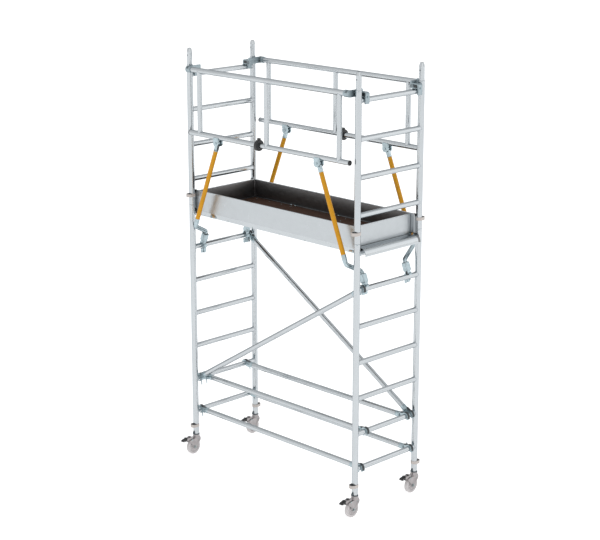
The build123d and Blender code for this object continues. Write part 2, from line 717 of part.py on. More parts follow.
HINGE_Z = DECK_TOP + 5.0
KNUCKLE_R = 4.8
HINGE_PIN_R = 2.5
KNUCKLE_HALF = 14.0
with BuildPart() as hatch_panel:
    length_x = HATCH_X[1] - HATCH_X[0] - 2 * HATCH_GAP
    length_y = HATCH_Y[1] - HATCH_Y[0] - 2 * HATCH_GAP
    with Locations(((HATCH_X[0] + HATCH_X[1]) / 2, (HATCH_Y[0] + HATCH_Y[1]) / 2,
                    DECK_TOP - (DECK_THICK - GAP) / 2)):
        Box(length_x, length_y, DECK_THICK - GAP)
    with Locations(((HATCH_X[0] + HATCH_X[1]) / 2, HATCH_Y[0] + 60, DECK_TOP)):
        Cylinder(15, 60, mode=Mode.SUBTRACT)
    for x in HINGE_X:
        with Locations((x, HINGE_Y - 21, DECK_TOP + 1)):
            Box(2 * KNUCKLE_HALF, 42, 2)
        with Locations((x, HINGE_Y, HINGE_Z)):
            Cylinder(KNUCKLE_R, 2 * KNUCKLE_HALF, rotation=(0, 90, 0))
            Cylinder(HINGE_PIN_R + FIT, 40, rotation=(0, 90, 0), mode=Mode.SUBTRACT)
save(hatch_panel, "hatch_panel")

with BuildPart() as hatch_hinges:
    for x in HINGE_X:
        for side in (-1, 1):
            with Locations((x + side * (KNUCKLE_HALF + 8.3), HINGE_Y, HINGE_Z)):
                Cylinder(KNUCKLE_R, 16, rotation=(0, 90, 0))
            with Locations((x + side * (KNUCKLE_HALF + 8.3), HINGE_Y + 8, DECK_TOP + 1.2)):
                Box(16, 14, 2)
        with Locations((x, HINGE_Y, HINGE_Z)):
            Cylinder(HINGE_PIN_R, 2 * KNUCKLE_HALF + 30, rotation=(0, 90, 0))
save(hatch_hinges, "hatch_hinges")

with BuildPart() as toe_boards:
    for side in (1, -1):
        with BuildSketch(Plane.XZ.offset(-side * (BOARD_OUT_Y - BOARD_THICK / 2))):
            with Locations((0, (BOARD_TOP + BOARD_BOTTOM) / 2)):
                RectangleRounded(2 * BOARD_END_X, BOARD_TOP - BOARD_BOTTOM, 12)
        extrude(amount=BOARD_THICK / 2, both=True)
        bottom = RUNG_7_Z + CLAW_RISE + GAP
        with Locations((side * (END_BOARD_X - BOARD_THICK / 2), 0, (BOARD_TOP + bottom) / 2)):
            Box(BOARD_THICK, 2 * (RAIL_OUT_Y - 0.2), BOARD_TOP - bottom)
save(toe_boards, "toe_boards")

CAP_THICK = 1.5
with BuildPart() as toe_board_caps:
    for sx, sy in CORNERS.values():
        for z in (BOARD_TOP - 8, BOARD_BOTTOM + 8):
            with Locations((sx * (BOARD_END_X - 10 + CAP_THICK), sy * (BOARD_OUT_Y - 3), z)):
                Box(20 + CAP_THICK, BOARD_THICK + 2 * CAP_THICK - 0.2, 16 + 2 * CAP_THICK)
    for side in (1, -1):
        with Locations((0, side * (BOARD_OUT_Y - 3), (BOARD_TOP + BOARD_BOTTOM) / 2)):
            Box(2 * BOARD_END_X + 0.2, BOARD_THICK + 0.2, BOARD_TOP - BOARD_BOTTOM + 0.2,
                mode=Mode.SUBTRACT)
save(toe_board_caps, "toe_board_caps")


def toe_board_catch(x):
    """Turning catch on the near side rail, below the toe board."""
    with BuildPart() as catch:
        with BuildSketch(Plane.XZ.offset(RAIL_OUT_Y + GAP)):
            with Locations((x, CATCH_Z)):
                SlotOverall(46, 15)
        extrude(amount=5.5)
        with Locations((x, -(RAIL_OUT_Y - 1), CATCH_Z)):
            Cylinder(CATCH_PIN_R, 8, rotation=(90, 0, 0))
    return catch.part


for x, (near_name, far_name) in zip(
    CATCH_X, (("near_left", "far_right"), ("near_right", "far_left"))
):
    for shape, corner in zip(both_sides(toe_board_catch(x)), (near_name, far_name)):
        with BuildPart() as placed_catch:
            add(shape)
        save(placed_catch, f"toe_board_catch_{corner}")

# ---------------------------------------------------------------- castors
HEAD_PLATE = 6.0
RACE_TOP = BASE_Z - HEAD_PLATE
CROWN_TOP = 136.5
CROWN_BOTTOM = 132.0
CHEEK_IN = 20.5
CHEEK_OUT = 24.0
PEDAL_PIVOT = (-64.0, 131.0)
PEDAL_PIN_R = 3.5


def castor_stem(x, y):
    """Stem in a post's foot, with its head plate and the kingpin that the fork turns on."""
    low = (Align.CENTER, Align.CENTER, Align.MIN)
    high = (Align.CENTER, Align.CENTER, Align.MAX)
    with BuildPart() as stem:
        with Locations((x, y, RACE_TOP)):
            Cylinder(27, HEAD_PLATE - 0.2, align=low)
            Cylinder(SPIGOT_R, SPIGOT_REACH, align=low)
        with Locations((x, y, RACE_TOP + 40)):
            Cylinder(SPIGOT_BORE_R, SPIGOT_REACH, align=low, mode=Mode.SUBTRACT)
        with Locations((x, y, BASE_Z + PIN_HEIGHT)):
            Cylinder(SPIGOT_HOLE_R, 3 * SPIGOT_R, rotation=(90, 0, 0), mode=Mode.SUBTRACT)
        with Locations((x, y, CROWN_BOTTOM - 0.2)):
            Cylinder(KINGPIN_R, RACE_TOP - CROWN_BOTTOM + 1, align=low)
            Cylinder(10, 3.6, align=high)
    return stem.part


with BuildPart() as castor_stems:
    for x, y in POSTS:
        add(castor_stem(x, y))
save(castor_stems, "castor_stems")


def castor_fork():
    """Fork with its raceway dome and axle bolt, about a swivel axis at the origin."""
    with BuildPart() as fork:
        with BuildSketch(Plane.YZ.offset(-CHEEK_OUT)):
            with BuildLine():
                Polyline((28, CROWN_TOP), (28, 112), (-TRAIL + 20, 56), (-TRAIL + 4, 44),
                         (-TRAIL - 10, 48), (-TRAIL - 26, 84), (-88, 112), (-92, 122),
                         (-84, 130), (-44, CROWN_TOP), close=True)
            make_face()
        extrude(amount=2 * CHEEK_OUT)
        fillet(fork.edges().filter_by(Axis.X), 5)
        with BuildSketch(Plane.YZ.offset(-CHEEK_IN)):
            with Locations((-40, CROWN_BOTTOM - 60)):
                Rectangle(160, 120)
        extrude(amount=2 * CHEEK_IN, mode=Mode.SUBTRACT)
        # The rear of the crown is open for the brake pedal.
        with Locations((0, -80, 130)):
            Box(2 * CHEEK_IN, 64, 30, mode=Mode.SUBTRACT)
        with BuildSketch(Plane.XY.offset(CROWN_TOP - 1)) as dome_foot:
            Circle(30)
        with BuildSketch(Plane.XY.offset(RACE_TOP - GAP)) as dome_top:
            Circle(25.5)
        loft()
        Cylinder(KINGPIN_R + FIT, 400, mode=Mode.SUBTRACT)
        with Locations((0, -TRAIL, WHEEL_R)):
            Cylinder(AXLE_R + 0.02, 80, rotation=(0, 90, 0), mode=Mode.SUBTRACT)
        with Locations((0, *PEDAL_PIVOT)):
            Cylinder(PEDAL_PIN_R + FIT, 80, rotation=(0, 90, 0), mode=Mode.SUBTRACT)
    with BuildPart() as bolt:
        with Locations((0, -TRAIL, WHEEL_R)):
            Cylinder(AXLE_R, 2 * CHEEK_OUT + 4, rotation=(0, 90, 0))
        for side in (1, -1):
            with BuildSketch(Plane.YZ.offset(side * (CHEEK_OUT + 0.05))):
                with Locations((-TRAIL, WHEEL_R)):
                    RegularPolygon(9.2, 6)
            extrude(amount=side * 6.5)
    return fork.part, bolt.part


def castor_wheel():
    """Moulded wheel with a raised hub and a recessed web."""
    with BuildPart() as wheel:
        with BuildSketch(Plane(origin=(0, -TRAIL, WHEEL_R), x_dir=(1, 0, 0), z_dir=(0, -1, 0))):
            with BuildLine():
                Polyline((0, AXLE_R + FIT), (19.5, AXLE_R + FIT), (19.5, 17), (9, 20), (7, 42),
                         (13, 46), (WHEEL_HALF, 49), (WHEEL_HALF, 58), (12.5, WHEEL_R),
                         (-12.5, WHEEL_R), (-WHEEL_HALF, 58), (-WHEEL_HALF, 49), (-13, 46),
                         (-7, 42), (-9, 20), (-19.5, 17), (-19.5, AXLE_R + FIT), close=True)
            make_face()
        revolve(axis=Axis((0, -TRAIL, WHEEL_R), (1, 0, 0)))
    return wheel.part


def castor_pedal():
    """Brake pedal between the cheeks, pivoted above the wheel, with its pivot pin."""
    py, pz = PEDAL_PIVOT
    with BuildPart() as pedal:
        with BuildSketch(Plane.YZ.offset(-17)):
            with BuildLine():
                Polyline((py + 12, pz + 6), (py + 14, pz + 17), (py + 6, pz + 24),
                         (py - 46, pz + 17), (py - 80, pz + 8), (py - 82, pz + 1),
                         (py - 64, pz + 2), (py - 30, pz - 4), (py, pz - 6), close=True)
            make_face()
        extrude(amount=34)
        fillet(pedal.edges().filter_by(Axis.X), 2)
        with Locations((0, py, pz)):
            Cylinder(PEDAL_PIN_R, 2 * CHEEK_OUT - 1, rotation=(0, 90, 0))
    return pedal.part


fork_shape, bolt_shape = castor_fork()
wheel_shape = castor_wheel()
pedal_shape = castor_pedal()
for corner, (sx, sy) in CORNERS.items():
    spot = Location((sx * POST_X, sy * POST_Y, 0))
    with BuildPart() as fork_node:
        add([spot * fork_shape, spot * bolt_shape])
    save(fork_node, f"castor_fork_{corner}")
    with BuildPart() as wheel_node:
        add(spot * wheel_shape)
    save(wheel_node, f"castor_wheel_{corner}")
    with BuildPart() as pedal_node:
        add(spot * pedal_shape)
    save(pedal_node, f"castor_pedal_{corner}")
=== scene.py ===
"""Looks of the baker scaffold: materials, welds, castings, fasteners, deck and castor detail.

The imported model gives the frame, in metres; helper shapes below are drawn in millimetres.
"""

import json
import math
import random

import bmesh
import bpy
from mathutils import Matrix, Vector


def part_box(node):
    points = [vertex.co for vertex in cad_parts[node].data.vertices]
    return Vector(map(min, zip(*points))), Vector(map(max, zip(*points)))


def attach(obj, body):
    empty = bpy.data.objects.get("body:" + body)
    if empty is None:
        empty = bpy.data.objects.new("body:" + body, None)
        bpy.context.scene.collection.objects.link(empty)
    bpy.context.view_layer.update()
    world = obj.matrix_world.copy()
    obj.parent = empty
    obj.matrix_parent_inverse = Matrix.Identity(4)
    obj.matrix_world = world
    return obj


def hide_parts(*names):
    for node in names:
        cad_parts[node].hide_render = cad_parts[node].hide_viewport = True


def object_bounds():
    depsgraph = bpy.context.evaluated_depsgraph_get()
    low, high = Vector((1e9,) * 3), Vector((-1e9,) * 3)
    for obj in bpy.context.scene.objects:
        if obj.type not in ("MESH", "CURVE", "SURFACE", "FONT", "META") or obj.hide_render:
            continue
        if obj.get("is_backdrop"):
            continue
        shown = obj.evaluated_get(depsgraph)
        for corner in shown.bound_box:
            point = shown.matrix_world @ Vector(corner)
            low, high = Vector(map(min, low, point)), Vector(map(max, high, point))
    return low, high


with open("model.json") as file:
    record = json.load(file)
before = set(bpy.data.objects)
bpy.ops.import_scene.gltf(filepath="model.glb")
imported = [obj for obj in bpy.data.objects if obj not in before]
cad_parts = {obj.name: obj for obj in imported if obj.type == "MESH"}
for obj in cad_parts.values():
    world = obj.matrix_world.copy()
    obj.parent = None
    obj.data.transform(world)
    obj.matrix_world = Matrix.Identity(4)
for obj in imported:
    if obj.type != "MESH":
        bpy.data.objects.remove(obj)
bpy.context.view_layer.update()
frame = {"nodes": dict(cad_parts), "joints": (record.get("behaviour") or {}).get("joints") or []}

MM = 0.001
TAU = 2 * math.pi
random.seed(7)

# ---------------------------------------------------------------- places read from the frame
JOINTS = {joint["name"]: joint for joint in frame["joints"]}
CORNERS = {
    "near_right": (1, -1),
    "near_left": (-1, -1),
    "far_right": (1, 1),
    "far_left": (-1, 1),
}


def joint_at(name):
    """A joint's place in millimetres."""
    return Vector(JOINTS[name]["pos_m"]) / MM


def box_mm(node):
    """A node's lowest and highest corners in millimetres."""
    low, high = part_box(node)
    return low / MM, high / MM


LATCH_RISE = 4.0  # a latch pivot is this far below its rung's axis
LATCH_FACE = 16.3  # and this far from its hook's middle plane
SWIVEL = joint_at("castor_swivel_near_right")
POST_X, POST_Y = SWIVEL.x, -SWIVEL.y
POST_R = box_mm("posts")[1].x - POST_X
POST_BASE, POST_TOP = box_mm("posts")[0].z, box_mm("posts")[1].z
RUNG_1_Z = joint_at("base_latch_near_right_pivot").z + LATCH_RISE
PITCH = joint_at("second_latch_near_right_pivot").z + LATCH_RISE - RUNG_1_Z
RUNGS = 11
RUNG_R = box_mm("rungs")[1].x - POST_X
JOINT_Z = POST_BASE + 7 * PITCH  # where the upper frames stand on the lower ones
BRACE_R = 20.5
DIAGONAL_TILT = math.atan2(4 * PITCH, 2 * POST_X)  # a diagonal climbs four rungs
GUARD_Y = 387.5  # the guardrails' middle planes
RAIL_R = 21.0
TOP_RAIL_Z, LOW_RAIL_Z = 3222.0, 2725.0
DECK_TOP = box_mm("deck_panel")[1].z
DECK_Y = box_mm("deck_panel")[1].y


def rung_z(number):
    """Height of a rung's axis, counted from 1 at the bottom."""
    return RUNG_1_Z + (number - 1) * PITCH


# ---------------------------------------------------------------- mesh helpers
def place(origin, z_dir, x_dir=None):
    """Matrix at origin with its Z along z_dir and its X as near as possible to x_dir."""
    z = Vector(z_dir).normalized()
    x = Vector(x_dir) if x_dir else z.orthogonal()
    x = (x - z * x.dot(z)).normalized()
    matrix = Matrix((x, z.cross(x), z)).transposed().to_4x4()
    matrix.translation = Vector(origin)
    return matrix


def bridge(bm, rings, loop=False):
    """Faces between rings of vertices, one after another."""
    pairs = list(zip(rings, rings[1:]))
    if loop:
        pairs.append((rings[-1], rings[0]))
    for a, b in pairs:
        count = len(a)
        for i in range(count):
            j = (i + 1) % count
            quad = [a[i], a[j], b[j], b[i]]
            unique = [v for k, v in enumerate(quad) if v not in quad[:k]]
            if len(unique) > 2:
                bm.faces.new(unique)


def prism(bm, rings):
    """Closed shape through rings of vertices, capped at the first and the last."""
    bridge(bm, rings)
    bm.faces.new(rings[0][::-1])
    bm.faces.new(rings[-1])


def lathe(bm, profile, matrix, sides=28, loop=False):
    """Turned shape: profile is (radius, height) pairs about the matrix's Z."""
    rings = []
    for radius, height in profile:
        if radius < 1e-6:
            rings.append([bm.verts.new(matrix @ Vector((0, 0, height)))] * sides)
            continue
        rings.append(
            [
                bm.verts.new(
                    matrix
                    @ Vector(
                        (
                            radius * math.cos(TAU * i / sides),
                            radius * math.sin(TAU * i / sides),
                            height,
                        )
                    )
                )
                for i in range(sides)
            ]
        )
    bridge(bm, rings, loop)


def sweep(bm, points, profile, x_dir):
    """Profile of (x, y) pairs carried along points, with its x axis starting at x_dir."""
    points = [Vector(p) for p in points]
    x = Vector(x_dir)
    rings = []
    for i, point in enumerate(points):
        back = points[max(i - 1, 0)]
        ahead = points[min(i + 1, len(points) - 1)]
        way = (ahead - back).normalized()
        x = (x - way * x.dot(way)).normalized()
        y = way.cross(x)
        rings.append([bm.verts.new(point + x * a + y * b) for a, b in profile])
    prism(bm, rings)


def circle(radius, sides):
    """Profile of a circle."""
    return [
        (radius * math.cos(TAU * i / sides), radius * math.sin(TAU * i / sides))
        for i in range(sides)
    ]


def block(bm, matrix, size, bevel=0.0, steps=2):
    """Box of that size about the matrix's origin, with rounded edges."""
    made = bmesh.ops.create_cube(bm, size=1.0)
    verts = made["verts"]
    bmesh.ops.scale(bm, vec=Vector(size), verts=verts)
    bmesh.ops.transform(bm, matrix=matrix, verts=verts)
    if bevel:
        edges = list({e for v in verts for e in v.link_edges})
        bmesh.ops.bevel(
            bm, geom=edges, offset=bevel, segments=steps, affect="EDGES", profile=0.5
        )


def slab(bm, middle, size, bevel=0.0, steps=2):
    """Box about a point, with its sides along the axes and rounded edges."""
    block(bm, Matrix.Translation(middle), size, bevel, steps)


def compass(turn):
    """Unit vector in the XY plane at an angle from X."""
    return Vector((math.cos(turn), math.sin(turn), 0))


def bead(bm, spots):
    """Closed weld bead through spots of (centre, outward way, other way, bead radius)."""
    rings = []
    for centre, outward, away, size in spots:
        rings.append(
            [
                bm.verts.new(
                    centre
                    + outward * size * math.cos(TAU * k / 8)
                    + away * size * math.sin(TAU * k / 8)
                )
                for k in range(8)
            ]
        )
    bridge(bm, rings, loop=True)


def dome(bm, matrix, radius, height, sides=18):
    """Rivet or screw head: a low dome on a short rim."""
    profile = [(radius, -1.0), (radius, height * 0.25)]
    for k in range(1, 5):
        turn = k / 5 * math.pi / 2
        profile.append((radius * math.cos(turn), height * (0.25 + 0.75 * math.sin(turn))))
    lathe(bm, [(0, -1.0)] + profile + [(0, height)], matrix, sides)


def hexagon(bm, matrix, radius, height):
    """Hexagon head with chamfered corners and a washer under it."""
    lathe(bm, [(0, 0), (radius * 1.25, 0), (radius * 1.25, 1.4), (0, 1.4)], matrix, 28)
    lathe(
        bm,
        [(0, 1.2), (radius, 1.2), (radius, height - 1), (radius * 0.88, height), (0, height)],
        matrix,
        6,
    )


def screw(bm, matrix, radius):
    """Pan screw head with a cross recess."""
    dome(bm, matrix, radius, radius * 0.45)
    for turn in (0, math.pi / 2):
        block(
            bm,
            matrix @ Matrix.Rotation(turn, 4, "Z") @ Matrix.Translation((0, 0, radius * 0.42)),
            (radius * 1.1, radius * 0.28, radius * 0.16),
        )


def arc(centre, radius, start, stop, steps, u, v):
    """Points on an arc in the plane of u and v, between two angles in degrees."""
    points = []
    for k in range(steps + 1):
        turn = math.radians(start + (stop - start) * k / steps)
        points.append(
            Vector(centre)
            + Vector(u) * radius * math.cos(turn)
            + Vector(v) * radius * math.sin(turn)
        )
    return points


def rounded_path(points, radius, steps=7):
    """Path through points with its corners rounded."""
    points = [Vector(p) for p in points]
    path = [points[0]]
    for before, corner, after in zip(points, points[1:], points[2:]):
        a, b = (before - corner).normalized(), (after - corner).normalized()
        half = a.angle(b) / 2
        reach = min(
            radius / math.tan(half),
            0.45 * min((before - corner).length, (after - corner).length),
        )
        start, end = corner + a * reach, corner + b * reach
        for k in range(steps + 1):
            t = k / steps
            path.append(start * (1 - t) ** 2 + corner * 2 * t * (1 - t) + end * t**2)
    path.append(points[-1])
    return path


SHARP = math.radians(32)  # edges turning more than this stay crisp


def piece(name, bm, body, material):
    """Turns a millimetre bmesh into a finished object that rides on a body."""
    bmesh.ops.remove_doubles(bm, verts=bm.verts, dist=0.0005)
    bmesh.ops.recalc_face_normals(bm, faces=bm.faces)
    bmesh.ops.scale(bm, vec=(MM, MM, MM), verts=bm.verts)
    for face in bm.faces:
        face.smooth = True
    for edge in bm.edges:
        edge.smooth = len(edge.link_faces) == 2 and edge.calc_face_angle(0) < SHARP
    mesh = bpy.data.meshes.new(name)
    bm.to_mesh(mesh)
    bm.free()
    mesh.materials.append(material)
    obj = bpy.data.objects.new(name, mesh)
    bpy.context.scene.collection.objects.link(obj)
    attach(obj, body)
    return obj


# ---------------------------------------------------------------- materials
EDGE_TINT = (0.62, 0.64, 0.66, 1)  # dulls a metal where it is seen at a grazing angle


def shader(name):
    """A new material with its node tree and Principled shader."""
    material = bpy.data.materials.new(name)
    material.use_nodes = True
    return material, material.node_tree, material.node_tree.nodes["Principled BSDF"]


def noise(tree, scale, detail=4.0, stretch=(1, 1, 1), rough=0.55):
    """Noise in the object's own coordinates, stretched along an axis."""
    place_node = tree.nodes.new("ShaderNodeTexCoord")
    mapping = tree.nodes.new("ShaderNodeMapping")
    mapping.inputs["Scale"].default_value = stretch
    texture = tree.nodes.new("ShaderNodeTexNoise")
    texture.inputs["Scale"].default_value = scale
    texture.inputs["Detail"].default_value = detail
    texture.inputs["Roughness"].default_value = rough
    tree.links.new(place_node.outputs["Object"], mapping.inputs["Vector"])
    tree.links.new(mapping.outputs["Vector"], texture.inputs["Vector"])
    return texture.outputs["Fac"]


def spread(tree, value, low, high, start=0.3, end=0.7):
    """A factor remapped from start..end to low..high."""
    node = tree.nodes.new("ShaderNodeMapRange")
    node.inputs["From Min"].default_value = start
    node.inputs["From Max"].default_value = end
    node.inputs["To Min"].default_value = low
    node.inputs["To Max"].default_value = high
    tree.links.new(value, node.inputs["Value"])
    return node.outputs["Result"]


def blend_colour(tree, factor, low, high):
    """A colour between low and high by a factor; either may be another colour's output."""
    node = tree.nodes.new("ShaderNodeMix")
    node.data_type = "RGBA"
    tree.links.new(factor, node.inputs[0])
    for socket, colour in ((node.inputs[6], low), (node.inputs[7], high)):
        if isinstance(colour, tuple):
            socket.default_value = (*colour, 1)
        else:
            tree.links.new(colour, socket)
    return node.outputs[2]


def bump(tree, shader_node, layers):
    """Stacks bump layers of (height, strength, distance in metres) on a shader."""
    normal = None
    for height, strength, distance in layers:
        node = tree.nodes.new("ShaderNodeBump")
        node.inputs["Strength"].default_value = strength
        node.inputs["Distance"].default_value = distance
        tree.links.new(height, node.inputs["Height"])
        if normal:
            tree.links.new(normal, node.inputs["Normal"])
        normal = node.outputs["Normal"]
    tree.links.new(normal, shader_node.inputs["Normal"])


def tinted(colour, factor):
    """A colour made lighter or darker."""
    return tuple(min(1.0, c * factor) for c in colour)


def metal(
    name, colour, rough, stretch=(1, 1, 1), grain=60, streak=0.05, blotch=0.04, relief=0.12
):
    """Bare metal with drawn streaks along one axis, handling marks and uneven gloss."""
    material, tree, node = shader(name)
    node.inputs["Metallic"].default_value = 1.0
    node.inputs["Specular Tint"].default_value = EDGE_TINT
    fine = noise(tree, grain, 6, stretch)
    coarse = noise(tree, 5, 3)
    smudge = noise(tree, 23, 5, rough=0.7)
    streaked = blend_colour(
        tree, spread(tree, fine, 0, 1), tinted(colour, 1 - streak), tinted(colour, 1 + streak)
    )
    mottled = blend_colour(
        tree, spread(tree, coarse, 0, 1), tinted(colour, 1 - blotch), tinted(colour, 1 + blotch)
    )
    mix = tree.nodes.new("ShaderNodeMix")
    mix.data_type = "RGBA"
    mix.inputs[0].default_value = 0.5
    tree.links.new(streaked, mix.inputs[6])
    tree.links.new(mottled, mix.inputs[7])
    tree.links.new(mix.outputs[2], node.inputs["Base Color"])
    tree.links.new(spread(tree, smudge, rough * 0.8, rough * 1.25), node.inputs["Roughness"])
    bump(tree, node, [(fine, relief, 0.0004), (smudge, relief * 0.5, 0.0006)])
    return material


def zinc(name, colour, rough):
    """Zinc plate: a faint spangle, cloudy tint and the ripple of a pressed surface."""
    material, tree, node = shader(name)
    node.inputs["Metallic"].default_value = 1.0
    node.inputs["Specular Tint"].default_value = EDGE_TINT
    spangle = tree.nodes.new("ShaderNodeTexVoronoi")
    spangle.inputs["Scale"].default_value = 210
    where = tree.nodes.new("ShaderNodeTexCoord")
    tree.links.new(where.outputs["Object"], spangle.inputs["Vector"])
    cloud = noise(tree, 38, 5)
    grit = noise(tree, 420, 3)
    tint = blend_colour(
        tree, spread(tree, cloud, 0, 1), tinted(colour, 0.86), tinted(colour, 1.12)
    )
    tree.links.new(tint, node.inputs["Base Color"])
    tree.links.new(
        spread(tree, spangle.outputs["Distance"], rough * 0.75, rough * 1.3, 0.0, 0.8),
        node.inputs["Roughness"],
    )
    bump(tree, node, [(cloud, 0.25, 0.0008), (grit, 0.2, 0.0002)])
    return material


def moulded(name, colour, rough, gloss=0.5, tint=0.05):
    """Moulded plastic: fine leather-like grain, faint flow marks and scuffs."""
    material, tree, node = shader(name)
    node.inputs["Specular IOR Level"].default_value = gloss
    flow = noise(tree, 30, 4, (1, 1, 2.5))
    grain = noise(tree, 900, 2)
    scuff = noise(tree, 110, 6, rough=0.75)
    shade = blend_colour(
        tree, spread(tree, flow, 0, 1), tinted(colour, 1 - tint), tinted(colour, 1 + tint)
    )
    tree.links.new(shade, node.inputs["Base Color"])
    tree.links.new(spread(tree, scuff, rough * 0.85, rough * 1.2), node.inputs["Roughness"])
    bump(tree, node, [(grain, 0.25, 0.00015), (scuff, 0.125, 0.0003)])
    return material


def powder_coat(name, colour, bare):
    """Powder coat with its orange-peel skin and a few chips down to bare metal."""
    material, tree, node = shader(name)
    peel = noise(tree, 260, 2)
    cloud = noise(tree, 9, 4)
    chips = noise(tree, 75, 8, rough=0.8)
    chipped = spread(tree, chips, 0, 1, 0.73, 0.75)
    coat = blend_colour(
        tree, spread(tree, cloud, 0, 1), tinted(colour, 0.93), tinted(colour, 1.06)
    )
    tree.links.new(blend_colour(tree, chipped, coat, bare), node.inputs["Base Color"])
    tree.links.new(chipped, node.inputs["Metallic"])
    tree.links.new(spread(tree, cloud, 0.36, 0.46), node.inputs["Roughness"])
    node.inputs["Specular IOR Level"].default_value = 0.2
    bump(tree, node, [(peel, 0.12, 0.0003), (chips, 0.1, 0.0002)])
    return material


def film_plywood(name, film, veneer):
    """Phenolic film on birch plywood: a pressed wire mesh over grain that runs across."""
    material, tree, node = shader(name)
    grain = noise(tree, 26, 8, (9, 0.7, 1), rough=0.65)
    worn = noise(tree, 4, 6, rough=0.7)
    where = tree.nodes.new("ShaderNodeTexCoord")
    waves = []
    for turn in (math.radians(45), math.radians(-45)):
        mapping = tree.nodes.new("ShaderNodeMapping")
        mapping.inputs["Rotation"].default_value = (0, 0, turn)
        wave = tree.nodes.new("ShaderNodeTexWave")
        wave.inputs["Scale"].default_value = 62
        wave.inputs["Distortion"].default_value = 0
        tree.links.new(where.outputs["Object"], mapping.inputs["Vector"])
        tree.links.new(mapping.outputs["Vector"], wave.inputs["Vector"])
        waves.append(wave.outputs["Fac"])
    mesh = tree.nodes.new("ShaderNodeMath")
    mesh.operation = "MAXIMUM"
    tree.links.new(waves[0], mesh.inputs[0])
    tree.links.new(waves[1], mesh.inputs[1])
    base = blend_colour(tree, spread(tree, grain, 0, 1, 0.35, 0.65), film, veneer)
    dusty = blend_colour(
        tree, spread(tree, worn, 0, 0.35, 0.5, 0.75), base, tinted(veneer, 1.7)
    )
    tree.links.new(dusty, node.inputs["Base Color"])
    tree.links.new(spread(tree, worn, 0.62, 0.8), node.inputs["Roughness"])
    node.inputs["Specular IOR Level"].default_value = 0.16
    bump(tree, node, [(mesh.outputs[0], 0.35, 0.0005), (grain, 0.25, 0.0004)])
    return material


ALU = (0.49, 0.515, 0.53)
VERTICAL = metal("aluminium_posts", ALU, 0.17, (6, 6, 0.12), streak=0.03, relief=0.04)
ACROSS = metal("aluminium_rungs", ALU, 0.15, (6, 0.12, 6), streak=0.03, relief=0.02)
ALONG = metal("aluminium_along", ALU, 0.15, (0.12, 6, 6), streak=0.03, relief=0.02)
BRACES = metal("aluminium_braces", ALU, 0.11, (0.3, 4, 4), streak=0.03, relief=0.03)
SHEET = metal(
    "aluminium_sheet",
    tinted(ALU, 0.97),
    0.33,
    (0.1, 6, 6),
    grain=90,
    streak=0.02,
    blotch=0.02,
    relief=0.03,
)
CAST = metal("cast_aluminium", (0.34, 0.40, 0.425), 0.42, grain=160, streak=0.1, relief=0.5)
WELD = metal("weld_aluminium", (0.52, 0.55, 0.58), 0.35, grain=240, streak=0.12, relief=0.6)
ZINC_PLATE = zinc("zinc_plate", (0.42, 0.50, 0.53), 0.34)
ZINC_DARK = zinc("zinc_dark", (0.10, 0.115, 0.125), 0.38)
BOLT = zinc("zinc_bolt", (0.36, 0.44, 0.44), 0.26)
FORK = zinc("fork_steel", (0.40, 0.375, 0.375), 0.42)
OCHRE = powder_coat("ochre_powder_coat", (0.53, 0.245, 0.008), (0.42, 0.36, 0.28))
BEIGE = moulded("beige_plastic", (0.47, 0.43, 0.405), 0.5)
ORANGE = moulded("orange_plastic", (0.52, 0.23, 0.015), 0.4, gloss=0.3)
BLACK = moulded("black_plastic", (0.012, 0.012, 0.013), 0.42)
# Dark plastic that paints shade in the hooks' channels, the coupler slots, the claw gaps, the
# crank grooves and the socket mouths; also the dark spring beside each strut socket's jaws.
BAND = moulded("dark_band", (0.016, 0.022, 0.025), 0.3)
TREAD = moulded("grey_nylon", (0.50, 0.475, 0.475), 0.48, tint=0.07)
DECK = film_plywood("film_faced_plywood", (0.038, 0.019, 0.012), (0.062, 0.031, 0.020))
# Dark sheet for the toe boards' inner faces: painted reflection of the dark deck and painted
# shade.
BOARD_SHADE = metal("toe_board_inner_shade_sheet", (0.20, 0.195, 0.195), 0.42, grain=90, relief=0.05)
EDGING = metal("deck_edging", (0.20, 0.205, 0.21), 0.4, (0.12, 6, 6), relief=0.05)

NODE_MATERIALS = {
    "posts": VERTICAL,
    "spigots": VERTICAL,
    "rungs": ACROSS,
    "brace_tubes": BRACES,
    "rung_hooks": ZINC_PLATE,
    "guard_rails": ALONG,
    "guard_uprights": VERTICAL,
    "guard_rings_and_caps": BLACK,
    "guard_couplers": CAST,
    "strut_tubes": OCHRE,
    "strut_heads": ZINC_PLATE,
    "strut_cranks": ZINC_PLATE,
    "deck_end_claws": ACROSS,
    "deck_frame": ALONG,
    "deck_panel": DECK,
    "hatch_panel": DECK,
    "hatch_hinges": ZINC_PLATE,
    "toe_boards": SHEET,
    "toe_board_caps": BLACK,
    "castor_stems": ZINC_DARK,
}
# Moving nodes, by how their names start.
MOVING_MATERIALS = {
    "base_clip": BEIGE,
    "joint_clip": BEIGE,
    "base_latch": ZINC_PLATE,
    "second_latch": ZINC_PLATE,
    "strut_latch": ZINC_PLATE,
    "diagonal_latch": ZINC_PLATE,
    "toe_board_catch": ZINC_PLATE,
    "castor_fork": FORK,
    "castor_wheel": TREAD,
    "castor_pedal": FORK,
}
for name, obj in frame["nodes"].items():
    material = NODE_MATERIALS.get(name) or next(
        found for start, found in MOVING_MATERIALS.items() if name.startswith(start)
    )
    obj.data.materials.clear()
    obj.data.materials.append(material)

# ---------------------------------------------------------------- ladder frames
TOWER = "tower"


def weld_ring(bm, post, rung_height, side):
    """Rippled bead where a rung meets a post; side is the way the rung leaves the post."""
    steps, spots = 44, []
    for i in range(steps):
        turn = TAU * i / steps
        x, z = RUNG_R * math.cos(turn), RUNG_R * math.sin(turn)
        y = math.sqrt(max(POST_R**2 - x**2, 0))
        centre = Vector((post.x + x, post.y + side * y, rung_height + z))
        outward = Vector((math.cos(turn), 0, math.sin(turn)))
        size = 3.1 + 0.5 * math.sin(turn * 22) + random.uniform(-0.2, 0.2)
        spots.append((centre, outward, Vector((0, side, 0)), size))
    bead(bm, spots)


